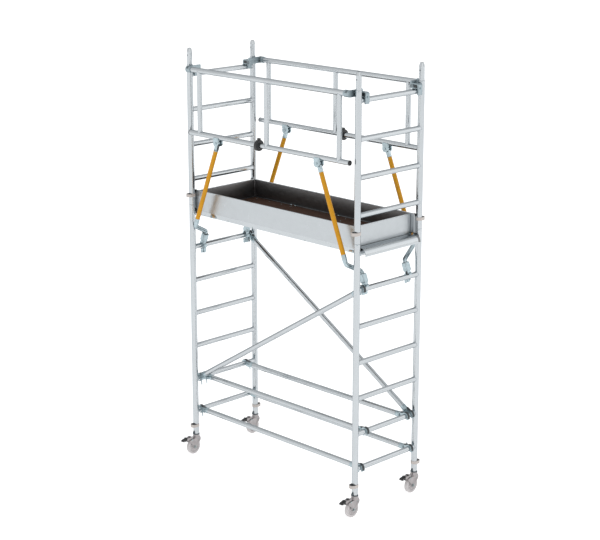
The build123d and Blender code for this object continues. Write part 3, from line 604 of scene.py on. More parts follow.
bm = bmesh.new()
for sx, sy in CORNERS.values():
    for number in range(1, RUNGS + 1):
        weld_ring(bm, Vector((sx * POST_X, sy * POST_Y, 0)), rung_z(number), -sy)
piece("rung_welds", bm, TOWER, WELD)


def fluting(bm, start, end, radius, count, width, height):
    """Ribs along a tube, spaced evenly round it."""
    start, end = Vector(start), Vector(end)
    way = (end - start).normalized()
    u = way.orthogonal().normalized()
    v = way.cross(u)
    for k in range(count):
        turn = TAU * (k + 0.5) / count
        out = u * math.cos(turn) + v * math.sin(turn)
        side = way.cross(out)
        corners = [
            (radius - 0.3, -width),
            (radius + height * 0.6, -width * 0.6),
            (radius + height, 0),
            (radius + height * 0.6, width * 0.6),
            (radius - 0.3, width),
        ]
        prism(
            bm,
            [[bm.verts.new(p + out * a + side * b) for a, b in corners] for p in (start, end)],
        )


bm = bmesh.new()
for sx in (1, -1):
    for number in range(1, RUNGS + 1):
        ends = [(sx * POST_X, sy * (POST_Y - POST_R + 1), rung_z(number)) for sy in (-1, 1)]
        fluting(bm, *ends, RUNG_R, 12, 1.9, 0.2)
piece("rung_ribs", bm, TOWER, ACROSS)

CRIMP_DROP = 8.0  # a crimp is this far below its post's top
bm = bmesh.new()
seams = bmesh.new()
for sx, sy in CORNERS.values():
    for top in (JOINT_Z, POST_TOP):
        for turn in (-45, 135):
            out = compass(math.radians(turn))
            spot = Vector((sx * POST_X, sy * POST_Y, top - CRIMP_DROP)) + out * (POST_R - 0.2)
            matrix = place(spot, out, (0, 0, 1)) @ Matrix.Diagonal((0.55, 1.25, 1, 1))
            lathe(bm, [(0, 0.1), (3.2, 0.2), (4.4, 0.75), (5.4, 0.1), (5.4, -1), (0, -1)], matrix)
    # Thin dark ring round the joint of the lower and upper post tubes: painted shade in the gap
    # between them.
    seam = [(POST_R + 0.12, -0.9), (POST_R + 0.12, 0.5), (POST_R - 1, 0.5), (POST_R - 1, -0.9)]
    lathe(seams, seam, Matrix.Translation((sx * POST_X, sy * POST_Y, JOINT_Z)), 40, loop=True)
# Painted shade inside each open spigot: a dark disc below its rim, and a dark plate behind its
# pin holes for the shaded inside seen through them.
PIN_HOLE_RISE = 75.0  # a spigot's pin holes are this far above its post's top
hollows = bmesh.new()
for sx, sy in CORNERS.values():
    spot = Vector((sx * POST_X, sy * POST_Y, box_mm("spigots")[1].z - 3))
    lathe(hollows, [(0, -2), (12.9, -2), (12.9, 0), (0, 0)], Matrix.Translation(spot), 32)
    slab(hollows, (sx * POST_X, sy * POST_Y, POST_TOP + PIN_HOLE_RISE), (26, 2, 14), 0.5)
piece("spigot_hollows", hollows, TOWER, ZINC_DARK)
piece("post_crimps", bm, TOWER, CAST)
piece("post_joint_shade_rings", seams, TOWER, ZINC_DARK)

# ---------------------------------------------------------------- locking clips
CLIP_NOSE_Y, CLIP_NOSE_R = 24.0, 24.2  # the dark insert's rounded nose, from the post's axis
CLIP_INNER_R, CLIP_HALF = 25.0, 9.2
STRAP_R = 25.9  # the strap's middle, just outside the post


def clip_hollow_shade(node, middle, sy):
    """Dark plate that fills a clip's hollow in front of the post: painted shade in its opening.
    """
    bm = bmesh.new()
    turns = [compass(math.pi * k / 20) for k in range(21)]
    outline = [
        middle + Vector((CLIP_NOSE_R * w.x, sy * (CLIP_NOSE_Y + CLIP_NOSE_R * w.y), 0))
        for w in turns
    ]
    outline += [middle + Vector((-CLIP_INNER_R * w.x, sy * CLIP_INNER_R * w.y, 0)) for w in turns]
    prism(
        bm,
        [
            [bm.verts.new(p + Vector((0, 0, dz))) for p in outline]
            for dz in (-CLIP_HALF, CLIP_HALF)
        ],
    )
    bmesh.ops.triangulate(bm, faces=[f for f in bm.faces if len(f.verts) > 4])
    piece(f"{node}_hollow_shade", bm, node, BLACK)


def clip_strap(bm, middle, sx, sy):
    """Strap that runs on round the post's inner side, with its end curled up."""
    strap = []
    for k in range(25):
        turn = math.pi * k / 24
        curl = 9 * max(0, 0.12 - turn / TAU)
        strap.append(
            middle + Vector((sx * STRAP_R * math.cos(turn), -sy * STRAP_R * math.sin(turn), curl))
        )
    profile = [(-1.5, -11.5), (-0.6, -12), (0.6, -12), (1.5, -11.5)]
    profile += [(-a, -b) for a, b in profile]
    sweep(bm, strap, profile, strap[0] - middle)


straps = bmesh.new()
for place_name in ("base", "joint"):
    for corner, (sx, sy) in CORNERS.items():
        node = f"{place_name}_clip_{corner}"
        low, high = box_mm(node)
        middle = Vector((sx * POST_X, sy * POST_Y, (low.z + high.z) / 2))
        clip_hollow_shade(node, middle, sy)
        clip_strap(straps, middle, sx, sy)
piece("clip_straps", straps, TOWER, BEIGE)

# ---------------------------------------------------------------- hooks and latches
HOOK_HALF = 14.0  # half a hook's width
HOOK_R = 32.0  # a hook's outer radius round its rung
TUBE_END = 58.2  # a brace tube's end from its rung's axis
SLEEVE_LAP = 6.0  # a brace's end sleeve starts this far before its tube
DIAGONAL_LOW = ("near_left", "far_right")  # corners where a diagonal has its lower end


def latch_detail(node, pivot, inward, sy, low_finger):
    """A latch's rivet and its finger, which hangs below the rung or stands above it."""
    bm = bmesh.new()
    dome(bm, place(pivot + Vector((0, sy * 2.2, 0)), (0, sy, 0)), 5.6, 2.4)
    angle, reach = (math.radians(-80), 49) if low_finger else (math.radians(70), 35)
    finger = inward * math.cos(angle) + Vector((0, 0, 1)) * math.sin(angle)
    lathe(
        bm,
        [(0, -2.2), (4.4, -2.2), (5.2, -1.4), (5.2, 2.2), (4.4, 3.0), (0, 3.0)],
        place(pivot + finger * reach, (0, sy, 0)),
    )
    block(
        bm,
        place(pivot + finger * (reach / 2 + 4) + Vector((0, sy * 0.4, 0)), finger, (0, 1, 0)),
        (4.8, 10.4, reach - 8),
        1.6,
    )
    piece(f"{node}_rivet", bm, node, ZINC_PLATE)


bands, rims, sleeves = (bmesh.new() for _ in range(3))
for corner, (sx, sy) in CORNERS.items():
    for place_name in ("base", "second", "strut", "diagonal"):
        node = f"{place_name}_latch_{corner}"
        pivot = joint_at(f"{node}_pivot")
        middle_y = pivot.y - sy * LATCH_FACE
        centre = Vector((sx * POST_X, middle_y, pivot.z + LATCH_RISE))
        inward, up = Vector((-sx, 0, 0)), Vector((0, 0, 1))
        tilt = 0.0
        if place_name == "diagonal":
            tilt = DIAGONAL_TILT if corner in DIAGONAL_LOW else -DIAGONAL_TILT
        way = inward * math.cos(tilt) + up * math.sin(tilt)
        over = up * math.cos(tilt) - inward * math.sin(tilt)
        # Dark band from the neck over the hook's top and down its back: painted shade where the
        # channel between the hook's plates shows.
        if place_name != "strut":
            path = [centre + way * 56 + over * 22.4]
            path += arc(centre, HOOK_R + 0.2, 52 + math.degrees(tilt), 180, 20, inward, up)
            path.append(path[-1] - up * 16)
            sweep(bands, path, [(-0.6, -11), (1.3, -11), (1.3, 11), (-0.6, 11)], over)
        # Raised rim round the rung and a rivet head, on the face away from the post.
        face = centre - Vector((0, sy * HOOK_HALF, 0))
        rim = arc(face, 25.8, -8, 60 if place_name == "strut" else 188, 26, inward, up)
        sweep(
            rims,
            rim,
            [(-4.6, -0.5), (-4.0, 1.5), (4.0, 1.5), (4.6, -0.5)][:: -sx * sy],
            rim[0] - face,
        )
        dome(rims, place(face + inward * 30 - up * LATCH_RISE, (0, -sy, 0)), 6.5, 3)
        # The finger hangs below its rung at the struts and most hooks of the left end.
        low_finger = place_name == "strut" or (
            sx < 0 and not (place_name == "diagonal" and corner == "far_left")
        )
        latch_detail(node, pivot, inward, sy, low_finger)
        if place_name == "strut":
            continue
        start = centre + way * (TUBE_END - SLEEVE_LAP)
        lathe(
            sleeves,
            [(19, 0), (21.6, 0), (22.3, 1.4), (22.3, 42), (21.6, 44), (20.6, 44.2), (19, 44)],
            place(start, way),
            36,
            loop=True,
        )
        for turn in (50, 230):
            side = place(start + way * 11, way, (0, -sy, 0)).to_3x3()
            out = side @ compass(math.radians(turn))
            dome(sleeves, place(start + way * 11 + out * 22, out), 2.6, 1.3, 12)
piece("hook_channel_shade", bands, TOWER, BAND)
piece("hook_rims", rims, TOWER, ZINC_PLATE)
piece("brace_end_sleeves", sleeves, TOWER, ZINC_PLATE)

RIB_START = TUBE_END + 14.0  # a brace's ribs start this far from its rung's axis
BRACE_RIBS = (BRACE_R, 8, 1.6, 0.35)
DIAGONAL_Y = 283.0
bm = bmesh.new()
# Horizontal braces, by their distance from the tower's middle plane and their rung.
for y, number in ((278.0, 1), (228.0, 2)):
    for side in (1, -1):
        ends = [(sx * (POST_X - RIB_START), side * y, rung_z(number)) for sx in (-1, 1)]
        fluting(bm, *ends, *BRACE_RIBS)
for side in (1, -1):
    out = Vector((math.cos(DIAGONAL_TILT), 0, math.sin(DIAGONAL_TILT))) * RIB_START
    low = Vector((-POST_X, -DIAGONAL_Y, rung_z(2))) + out
    high = Vector((POST_X, -DIAGONAL_Y, rung_z(6))) - out
    ends = [Vector((p.x * side, p.y * side, p.z)) for p in (low, high)]
    fluting(bm, *ends, *BRACE_RIBS)
piece("brace_ribs", bm, TOWER, BRACES)

# ---------------------------------------------------------------- strut cranks and sockets
GUARD_MID_X = 16.0  # the near guardrail's middle
STRUT_HEAD_DX, STRUT_FOOT_DX = 549.0, 805.0  # from that middle
STRUT_HEAD_Z, STRUT_FOOT_Z, STRUT_HOOK_Y = 2680.0, 2034.0, 236.0
PAINT_START = 67.0  # a strut's painted tube starts this far from its head's pin
CRANK_HALF = (16.0, 17.4)  # half a crank's section across and along its stamped seam
SOCKET_TOP = 110.6  # from the rung's axis
JAW_INSET = 28.4  # a jaw's middle from the rung's axis
cranks, sockets, strut_trim, dark_bits = (bmesh.new() for _ in range(4))
for half_turn in (1, -1):
    for side in (1, -1):
        flip = Matrix.Diagonal((half_turn, half_turn, 1, 1))
        head = Vector((GUARD_MID_X + side * STRUT_HEAD_DX, -GUARD_Y, STRUT_HEAD_Z))
        foot = Vector((GUARD_MID_X + side * STRUT_FOOT_DX, -GUARD_Y, STRUT_FOOT_Z))
        way = (foot - head).normalized()
        rung = Vector((side * POST_X, -STRUT_HOOK_Y, rung_z(6)))
        route = [foot + way, foot + way * 71, rung - way * 130, rung - way * 46]
        normal = (route[2] - route[1]).cross(Vector((0, 0, 1)))
        path = [flip @ p for p in rounded_path(route, 30)]
        # Two stamped halves, so the section is a bone with a groove on each flat side.
        bone = []
        for k in range(48):
            turn = TAU * k / 48
            a, b = math.cos(turn), math.sin(turn)
            waist = 1 - 0.28 * math.exp(-((a / 0.17) ** 2))
            bone.append((CRANK_HALF[0] * b * waist, CRANK_HALF[1] * a))
        sweep(cranks, path, bone, flip @ normal)
        # Dark strip down the middle of the section, showing in both grooves: painted shade in the
        # grooves.
        core = [(-12.6, -2.4), (12.6, -2.4), (12.6, 2.4), (-12.6, 2.4)]
        sweep(dark_bits, path, core, flip @ normal)
        lathe(
            cranks,
            [(17.6, -3), (18.2, -3), (18.5, -2), (18.5, 44), (17.8, 47), (15, 50), (8, 51),
             (8, 0.6), (17.6, 0.6)],
            place(flip @ foot, flip @ way),
            32,
            loop=True,
        )
        # Smooth socket in line with the strut, with a dark ring of painted shade where the bar
        # enters it.
        base = flip @ rung
        lift = flip @ (way * -1)
        out = Vector((half_turn * side, 0, 0))
        block(sockets, place(base + lift * 77, lift, (0, 1, 0)), (45, 49, 67), 10, 6)
        block(sockets, place(base + lift * 52, lift, (0, 1, 0)), (38, 42, 24), 7, 5)
        lathe(
            dark_bits,
            [(15, -1), (20.5, -1), (20.5, 1), (19.4, 2), (15, 2)],
            place(base + lift * SOCKET_TOP, lift),
            32,
            loop=True,
        )
        # Two rounded jaw lobes below the rung's inner side, and the dark spring beside them.
        jaw = base - out * JAW_INSET
        slab(sockets, jaw - Vector((0, 0, 9)), (12.6, 27.4, 98), 6, 5)
        slab(dark_bits, jaw - out * 6.2, (1, 7, 44), 0.4)
        # The second lobe is on the side away from the post at one end and toward it at the other.
        away = Vector((0, math.copysign(1, -base.y * side), 0))
        width = 29 if side == 1 else 26
        lobe = jaw + away * (15 + width / 2) - Vector((0, 0, 36))
        slab(sockets, lobe, (12.6, width, 40), 6, 5)
        away = Vector((0, math.copysign(1, -base.y), 0))
        slab(dark_bits, base + away * 15 + lift * 32, (14, 3, 16), 1)
        slab(dark_bits, base + away * 21 + lift * 26, (6, 12, 5), 1.5)
        # Rivets and a plain ring at the top of the painted tube.
        for k in (0, 1):
            spot = flip @ (head + way * (PAINT_START + 13 + 22 * k))
            for s in (1, -1):
                around = Vector((0, s, 0))
                dome(strut_trim, place(spot + around * 17.2, around), 3.4, 1.6, 14)
        lathe(
            strut_trim,
            [(17, -2.5), (18.3, -2.5), (18.9, -1.5), (18.9, 1.5), (18.3, 2.5), (17, 2.5)],
            place(flip @ (head + way * PAINT_START), flip @ way),
            36,
            loop=True,
        )
crank_piece = piece("strut_crank_bars", cranks, TOWER, ZINC_PLATE)
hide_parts("strut_cranks")
piece("strut_sockets", sockets, TOWER, ZINC_PLATE)
piece("strut_shade_and_springs", dark_bits, TOWER, BAND)
piece("strut_rivets", strut_trim, TOWER, BOLT)

# ---------------------------------------------------------------- guardrail detail
UPRIGHT_R, UPRIGHT_PITCH = 19.5, 756.0  # three uprights on each guardrail
THIN_RAIL_R = 18.5  # a low rail's thinner tube
THIN_RAIL_FROM_X = -71.0  # starts here on the near side
bm = bmesh.new()
for half_turn in (1, -1):
    flip = Matrix.Diagonal((half_turn, half_turn, 1, 1))
    for x in [GUARD_MID_X + k * UPRIGHT_PITCH for k in (-1, 0, 1)]:
        for z, way in ((TOP_RAIL_Z, -1), (LOW_RAIL_Z, 1)):
            thick = z == TOP_RAIL_Z or x < THIN_RAIL_FROM_X
            rail_r = RAIL_R if thick else THIN_RAIL_R
            spots = []
            for i in range(40):
                turn = TAU * i / 40
                out = compass(turn)
                a, b = UPRIGHT_R * out.x, UPRIGHT_R * out.y
                drop = math.sqrt(max(rail_r**2 - min(abs(b), rail_r) ** 2, 0))
                centre = Vector((x + a, -GUARD_Y + b, z + way * drop))
                size = 2.6 + 0.4 * math.sin(turn * 20)
                spots.append((flip @ centre, flip @ out, Vector((0, 0, way)), size))
            bead(bm, spots)
piece("guard_welds", bm, TOWER, WELD)

# A guardrail's two saddles stand at different distances from their posts.
SADDLE_Y = {-1: (256.0, 298.0), 1: (266.0, 311.0)}
# Grooves round the top rail and slots in each saddle are thin dark strips: painted shade in these
# recesses.
plates, slots = bmesh.new(), bmesh.new()
for sx, sy in CORNERS.values():
    for k in range(3):
        rail = Vector((sx * (848 + 7 * k), sy * GUARD_Y, TOP_RAIL_Z))
        for start, stop in ((-70, 75), (110, 165)):
            path = arc(rail, 26.1, start, stop, 14, (0, -sy, 0), (0, 0, 1))
            groove = [(-0.4, -1.6), (0.35, -1.6), (0.35, 1.6), (-0.4, 1.6)]
            sweep(slots, path, groove, path[0] - rail)
    inner_y, outer_y = SADDLE_Y[sx * sy]
    saddle = Vector((sx * POST_X, sy * (inner_y + outer_y) / 2, rung_z(11)))
    width = outer_y - inner_y
    # Outer cheek with rounded ends, and ribs across the hollow saddle.
    slab(plates, saddle + Vector((sx * 29.8, 0, 12)), (5, width, 78), 2.2, 3)
    for k in range(4):
        rib = saddle + Vector((sx * -30, 0, 27 + 8.5 * k))
        slab(plates, rib, (38, width + 1.6, 2.6), 0.9)
    for s in (-1, 1):
        slab(slots, saddle + Vector((sx * 2, s * (width / 2 - 2), 39)), (35, 1, 23), 0.3)
        for k in range(3):
            slot = saddle + Vector((sx * (-42 + 12 * k), s * (width / 2 + 0.7), 39))
            slab(slots, slot, (5, 0.8, 24), 0.3)
    hexagon(plates, place(saddle + Vector((sx * 32.3, 0, 24)), (sx, 0, 0)), 6.5, 6)
piece("coupler_plates", plates, TOWER, CAST)
piece("coupler_slot_shade", slots, TOWER, BAND)

# ---------------------------------------------------------------- platform
BOARD_Y, BOARD_TOP = box_mm("toe_boards")[1].yz
END_X = 866.0  # the end boards' outer face
CORNER_STRAP_X, CORNER_STRAP_Z = 840.0, 2158.0
CORNER_POST_Z = 2168.0  # middle height of the end boards' corner extrusions
HEM_R = 4.2  # the boards' rolled upper edge
hems, edging, corners = (bmesh.new() for _ in range(3))
hem_x = box_mm("toe_boards")[1].x - 14
hem_z = BOARD_TOP - 2.5
strip_z = DECK_TOP + 1.0
for side in (1, -1):
    y = side * (BOARD_Y - 3)
    sweep(hems, [(-hem_x, y, hem_z), (hem_x, y, hem_z)], circle(HEM_R, 14), (0, 1, 0))
    x = side * (END_X - 3)
    sweep(hems, [(x, -300, hem_z), (x, 300, hem_z)], circle(HEM_R, 14), (1, 0, 0))
    # Strips that seal the toe boards to the deck.
    slab(edging, (0, side * (DECK_Y - 6), strip_z), (2 * END_X - 16, 12, 2.2), 0.8)
    slab(edging, (side * (END_X - 14), 0, strip_z), (12, 580, 2.2), 0.8)
    for strap_side in (-1, 1):
        strap = (strap_side * CORNER_STRAP_X, side * (BOARD_Y + 0.2), CORNER_STRAP_Z)
        slab(hems, strap, (2.2, 1.2, 150), 0.5)
    # Rounded extrusions that stiffen the end boards' outer corners.
    for cy in (1, -1):
        corner_post = (side * (END_X + 18), cy * (BOARD_Y - 12.5), CORNER_POST_Z)
        slab(corners, corner_post, (36, 12, 144), 5, 4)
piece("toe_board_hems", hems, TOWER, ALONG)
piece("toe_board_corners", corners, TOWER, SHEET)
piece("deck_edging", edging, TOWER, EDGING)
# Dark sheets on the toe boards' inner faces and in their inside corners: painted reflection of
# the dark deck and painted shade.
inner_shade_sheets = bmesh.new()
liner_z = (DECK_TOP + BOARD_TOP) / 2
tall = BOARD_TOP - DECK_TOP - 9
for side in (1, -1):
    slab(inner_shade_sheets, (0, side * (BOARD_Y - 6.5), liner_z), (2 * END_X - 14, 0.9, tall), 0.3)
    slab(inner_shade_sheets, (side * (END_X - 6.5), 0, liner_z), (0.9, 2 * BOARD_Y - 16, tall), 0.3)
    for cy in (1, -1):
        slab(inner_shade_sheets, (side * (END_X - 12), cy * (BOARD_Y - 12), liner_z), (12, 12, tall), 4, 3)
piece("toe_board_inner_shade", inner_shade_sheets, TOWER, BOARD_SHADE)

claws, channels = bmesh.new(), bmesh.new()
CLAW_TOP = box_mm("deck_end_claws")[1].z
CLAW_Y = 299.0  # half a claw's length
for side in (1, -1):
    # Dark strips along the claws' tops: painted shade in the gap beside the end board and in a
    # narrow groove further out.
    for x, w in ((872, 8), (905, 2.4)):
        slab(channels, (side * x, 0, CLAW_TOP), (w, 2 * CLAW_Y, 0.9), 0.3)
    # Closed end of the claw beside the wind lock, following its rounded nose.
    nose = Vector((side * (POST_X + 2), side * (CLAW_Y - 20), CLAW_TOP - 50))
    profile = arc(nose, 50.5, 0, 90, 14, (side, 0, 0), (0, 0, 1))
    profile += arc(nose, 44, 90, 0, 14, (side, 0, 0), (0, 0, 1))
    prism(
        claws,
        [
            [claws.verts.new(p + Vector((0, side * depth, 0))) for p in profile]
            for depth in (0, 21.5)
        ],
    )
piece("claw_ends", claws, TOWER, EDGING)
piece("claw_gap_shade", channels, TOWER, BAND)

SIDE_SCREWS_X = (-795, -520, -240, 60, 340, 610)
SIDE_SCREW_Y, SIDE_SCREW_Z = 304.7, 2044.0
DECK_SCREWS_X = (-790, -640, -500, 220, 360, 500, 650, 790)
CROSSBAR_X = 241  # three more screws stand in a row over the crossbar beside the hatch
wind, wind_zinc, screws = (bmesh.new() for _ in range(3))
for half_turn in (1, -1):
    base = Vector((half_turn * 886, half_turn * 288, CLAW_TOP - 6))
    slab(wind_zinc, base + Vector((0, 0, 3)), (40, 22, 12), 2)
    slab(wind_zinc, base + Vector((half_turn * 30, 0, -4)), (44, 18, 4), 1.5)
    lathe(
        wind,
        [(0, 0), (7, 0), (7, 4.5), (6, 6), (0, 6)],
        place(base + Vector((half_turn * 11, -half_turn * 11, 3)), (0, -half_turn, 0)),
    )
    lathe(
        wind,
        [(0, 8), (6.5, 8), (6.5, 12.5), (5.5, 14), (0, 14)],
        Matrix.Translation(base + Vector((half_turn * 4, 0, 0))),
    )
    for x in SIDE_SCREWS_X:
        spot = (half_turn * x, -half_turn * SIDE_SCREW_Y, SIDE_SCREW_Z)
        screw(screws, place(spot, (0, -half_turn, 0), (1, 0, 0)), 4.2)
deck_screws = [(x, y) for x in DECK_SCREWS_X for y in (-262, 262)]
deck_screws += [(CROSSBAR_X, y) for y in (-182, 0, 182)]
for x, y in deck_screws:
    screw(screws, place((x, y, DECK_TOP), (0, 0, 1), (1, random.random(), 0)), 4.4)
piece("wind_lock_buttons", wind, TOWER, ORANGE)
piece("wind_lock_brackets", wind_zinc, TOWER, ZINC_PLATE)
piece("platform_screws", screws, TOWER, BOLT)

for corner in CORNERS:
    node = f"toe_board_catch_{corner}"
    spot = joint_at(f"{node}_turn")
    out = math.copysign(1, spot.y)
    bm = bmesh.new()
    slab(bm, spot + Vector((0, out * 6.6, 2.8)), (31, 2.6, 6.5), 1.2)
    piece(f"{node}_grip", bm, node, ORANGE)

# Hatch: finger-hole ring, hinge screws and battens under it.
HINGES_X = (-385, 99)
hatch_low, hatch_high = box_mm("hatch_panel")
bm = bmesh.new()
hole = Vector(((hatch_low.x + hatch_high.x) / 2, -192, DECK_TOP))
lathe(
    bm,
    [(14.6, -11), (14.6, 0.4), (16, 1.6), (21, 1.6), (22.5, 0), (15, -0.2), (15, -11)],
    Matrix.Translation(hole),
    36,
    loop=True,
)
piece("hatch_finger_ring", bm, "hatch", BLACK)
bm = bmesh.new()
hinge_y = joint_at("hatch_hinge").y
for x in HINGES_X:
    for dy in (-12, -24, -36):
        for dx in (-8, 8):
            screw(bm, place((x + dx, hinge_y + dy, DECK_TOP + 2), (0, 0, 1)), 2.6)
piece("hatch_hinge_screws", bm, "hatch", BOLT)
bm = bmesh.new()
for x in (hatch_low.x + 90, hatch_high.x - 90):
    y = (hatch_low.y + hatch_high.y) / 2 - 10
    slab(bm, (x, y, hatch_low.z - 8), (34, 430, 16), 2)
piece("hatch_battens", bm, "hatch", ALONG)

# ---------------------------------------------------------------- castors
CHEEK_X = 24.0  # a fork cheek's outer face from the wheel's middle
SPOKES = 10  # web ribs on each side of a wheel
RIDGE_PITCH = 4.6  # between the ridges round a tread
TREAD_BARS, TREAD_PITCH = 5, 7.5  # bars across a pedal


def wheel_detail(node, axle):
    """A wheel's web ribs, rim shoulders, tread ridges and hub seals."""
    bm, seals = bmesh.new(), bmesh.new()
    for side in (1, -1):
        matrix = place(axle, (side, 0, 0), (0, 1, 0))
        for k in range(SPOKES):
            turn = TAU * k / SPOKES
            spoke = matrix @ Matrix.Rotation(turn, 4, "Z") @ Matrix.Translation((31, 0, 9.2))
            block(bm, spoke, (21, 3.4, 5.5), 1.0)
        shoulder = [(44, 11), (46, 14.2), (48, 14.6), (50, 15.8), (48, 13), (45, 10)]
        lathe(bm, shoulder, matrix, 48, loop=True)
        seal = [(6, 18.5), (6, 20.2), (15, 20.2), (16.5, 19), (16.5, 17)]
        lathe(seals, seal, place(axle, (side, 0, 0)), 32, loop=True)
    for k in range(-2, 3):
        ridge = [(62.3, -0.9), (62.75, -0.5), (62.75, 0.5), (62.3, 0.9)]
        ridge = [(r, k * RIDGE_PITCH + x) for r, x in ridge]
        lathe(bm, ridge, place(axle, (1, 0, 0)), 64, loop=True)
    piece(f"{node}_ribs", bm, node, TREAD)
    piece(f"{node}_seals", seals, node, ZINC_DARK)


def fork_detail(node, axle, brake, swivel):
    """A fork's bolt and rivet heads, the lip round its raceway and its cheeks' pressed ridges."""
    bolts, pressings = bmesh.new(), bmesh.new()
    lathe(
        pressings,
        [(26.5, 0), (31.6, 0), (32.4, 2), (31.6, 4), (28.5, 8.5), (26.5, 8)],
        Matrix.Translation((swivel.x, swivel.y, 135.5)),
        44,
        loop=True,
    )
    for side in (1, -1):
        way = (side, 0, 0)
        face = axle + Vector((side * (CHEEK_X + 0.1), 0, 0))
        lathe(bolts, [(0, 0), (12.5, 0), (12.5, 1.8), (0, 1.8)], place(face, way), 32)
        lathe(bolts, [(0, 6), (5, 6), (5, 9.6), (4.2, 10.4), (0, 10.4)], place(face, way), 20)
        dome(bolts, place(brake + Vector((side * CHEEK_X, 0, 0)), way), 6.2, 3.4)
        dome(bolts, place(swivel + Vector((side * CHEEK_X, 2, -26)), way), 4.2, 2.2)
        x = axle.x + side * (CHEEK_X + 0.2)
        path = [(x, swivel.y + 16, 122), (x, swivel.y - 2, 96), (x, axle.y + 9, 78)]
        sweep(pressings, rounded_path(path, 20), circle(2.6, 10), (1, 0, 0))
    piece(f"{node}_bolts", bolts, node, BOLT)
    piece(f"{node}_pressings", pressings, node, FORK)


def pedal_detail(node, brake):
    """A pedal's tread bars, the black tip round its end, and the rollers on the brake shoe."""
    bm = bmesh.new()
    for k in range(TREAD_BARS):
        spot = (brake.x, brake.y - 48 - TREAD_PITCH * k, brake.z + 17.6 - 2.0 * k)
        block(bm, place(spot, (0, -0.26, 1), (1, 0, 0)), (30, 3.6, 2.6), 0.9)
    # The tip's outline from the side; each point ends with half the width there.
    tip = [
        (-50, 19, 17.6),
        (-50, -3, 17.6),
        (-66, 0, 18.2),
        (-84, -1, 17.8),
        (-94, 2, 14),
        (-84, 10, 17.8),
        (-68, 14.5, 18.2),
    ]
    prism(
        bm,
        [
            [bm.verts.new((brake.x + s * w, brake.y + a, brake.z + b)) for a, b, w in tip]
            for s in (-1, 1)
        ],
    )
    for dy, dz, r in ((-50, 20, 6.2), (-14, 21, 5.4)):
        lathe(
            bm,
            [(0, -15), (r - 1, -15), (r, -14), (r, 14), (r - 1, 15), (0, 15)],
            place((brake.x, brake.y + dy, brake.z + dz), (1, 0, 0)),
            24,
        )
    piece(f"{node}_treads", bm, node, BLACK)


for corner in CORNERS:
    axle, brake, swivel = (joint_at(f"castor_{j}_{corner}") for j in ("roll", "brake", "swivel"))
    wheel_detail(f"castor_wheel_{corner}", axle)
    fork_detail(f"castor_fork_{corner}", axle, brake, swivel)
    pedal_detail(f"castor_pedal_{corner}", brake)

bm = bmesh.new()
for sx, sy in CORNERS.values():
    x, y = sx * POST_X, sy * POST_Y
    lathe(
        bm,
        [(24.3, 0), (27.4, 0), (27.8, 0.8), (27.2, 2.6), (24.3, 3)],
        Matrix.Translation((x, y, POST_BASE - 0.2)),
        40,
        loop=True,
    )
    # Swivel lock plate standing against the post's foot.
    outline = [(-12, -4), (12, -4), (12, 7), (2, 27), (-2, 27), (-12, 7)]
    prism(
        bm,
        [
            [bm.verts.new((x + a, y - POST_R - depth, POST_BASE + b)) for a, b in outline]
            for depth in (0.4, 4.6)
        ],
    )
piece("castor_collars", bm, TOWER, ZINC_DARK)

# ---------------------------------------------------------------- camera, floor and light
camera_data = bpy.data.cameras.new("camera")
camera_data.lens = 96.67
camera_data.sensor_width = 36.0
camera_data.clip_end = 200
camera = bpy.data.objects.new("camera", camera_data)
camera.location = (8.6665, -8.5909, 5.0152)
camera.rotation_euler = (math.radians(74.754), 0, math.radians(45.319))
bpy.context.scene.collection.objects.link(camera)
bpy.context.scene.camera = camera

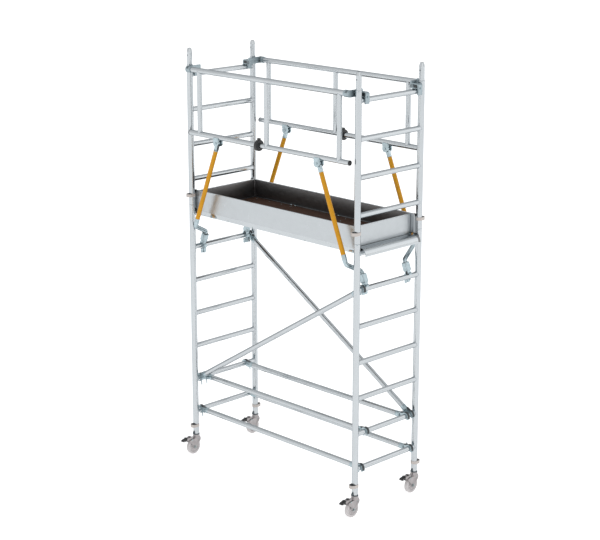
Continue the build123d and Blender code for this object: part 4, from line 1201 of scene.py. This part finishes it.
floor_mesh = bpy.data.meshes.new("floor")
bm = bmesh.new()
bmesh.ops.create_circle(bm, cap_ends=True, segments=96, radius=70)
bm.to_mesh(floor_mesh)
bm.free()
floor = bpy.data.objects.new("floor", floor_mesh)
bpy.context.scene.collection.objects.link(floor)
material, tree, node = shader("floor_white")
node.inputs["Base Color"].default_value = (0.92, 0.92, 0.92, 1)
node.inputs["Roughness"].default_value = 0.9
node.inputs["Specular IOR Level"].default_value = 0.1
node.inputs["Emission Color"].default_value = (1, 1, 1, 1)
node.inputs["Emission Strength"].default_value = 0.45
floor_mesh.materials.append(material)
floor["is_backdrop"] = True

world = bpy.data.worlds.new("studio")
world.use_nodes = True
bpy.context.scene.world = world
tree = world.node_tree
background = tree.nodes["Background"]
where = tree.nodes.new("ShaderNodeTexCoord")
split = tree.nodes.new("ShaderNodeSeparateXYZ")
ramp = tree.nodes.new("ShaderNodeValToRGB")
ramp.color_ramp.elements[0].position = 0.0
ramp.color_ramp.elements[0].color = (1.0, 1.0, 1.0, 1)
ramp.color_ramp.elements[1].position = 1.0
ramp.color_ramp.elements[1].color = (0.86, 0.87, 0.88, 1)
bright_stop = ramp.color_ramp.elements.new(0.85)
bright_stop.color = (0.96, 0.98, 1.0, 1)
tree.links.new(where.outputs["Generated"], split.inputs[0])
tree.links.new(split.outputs["Z"], ramp.inputs["Fac"])
# The studio is darker on the far side, behind the tower.
behind = tree.nodes.new("ShaderNodeVectorMath")
behind.operation = "DOT_PRODUCT"
behind.inputs[1].default_value = (-0.707, 0.707, 0)
tree.links.new(where.outputs["Generated"], behind.inputs[0])
dim = spread(tree, behind.outputs["Value"], 0, 1, 0.05, 0.7)
shaded = blend_colour(tree, dim, ramp.outputs["Color"], (0.72, 0.73, 0.74))
tree.links.new(shaded, background.inputs["Color"])
background.inputs["Strength"].default_value = 1.0


def softbox(name, location, aim, size, power):
    """Large square light at a place, aimed at a point, in metres."""
    data = bpy.data.lights.new(name, "AREA")
    data.shape = "SQUARE"
    data.size = size
    data.energy = power
    obj = bpy.data.objects.new(name, data)
    obj.location = location
    way = Vector(aim) - Vector(location)
    obj.rotation_euler = way.to_track_quat("-Z", "Y").to_euler()
    bpy.context.scene.collection.objects.link(obj)


softbox("key", (6.5, -3.0, 7.0), (0, 0, 1.6), 6.0, 50)
softbox("fill", (-4.0, -7.5, 4.5), (0, 0, 1.6), 6.0, 20)
softbox("back", (6.0, 6.5, 5.0), (0, 0, 1.6), 6.0, 55)
bpy.context.scene.view_settings.view_transform = "Standard"

low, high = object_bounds()
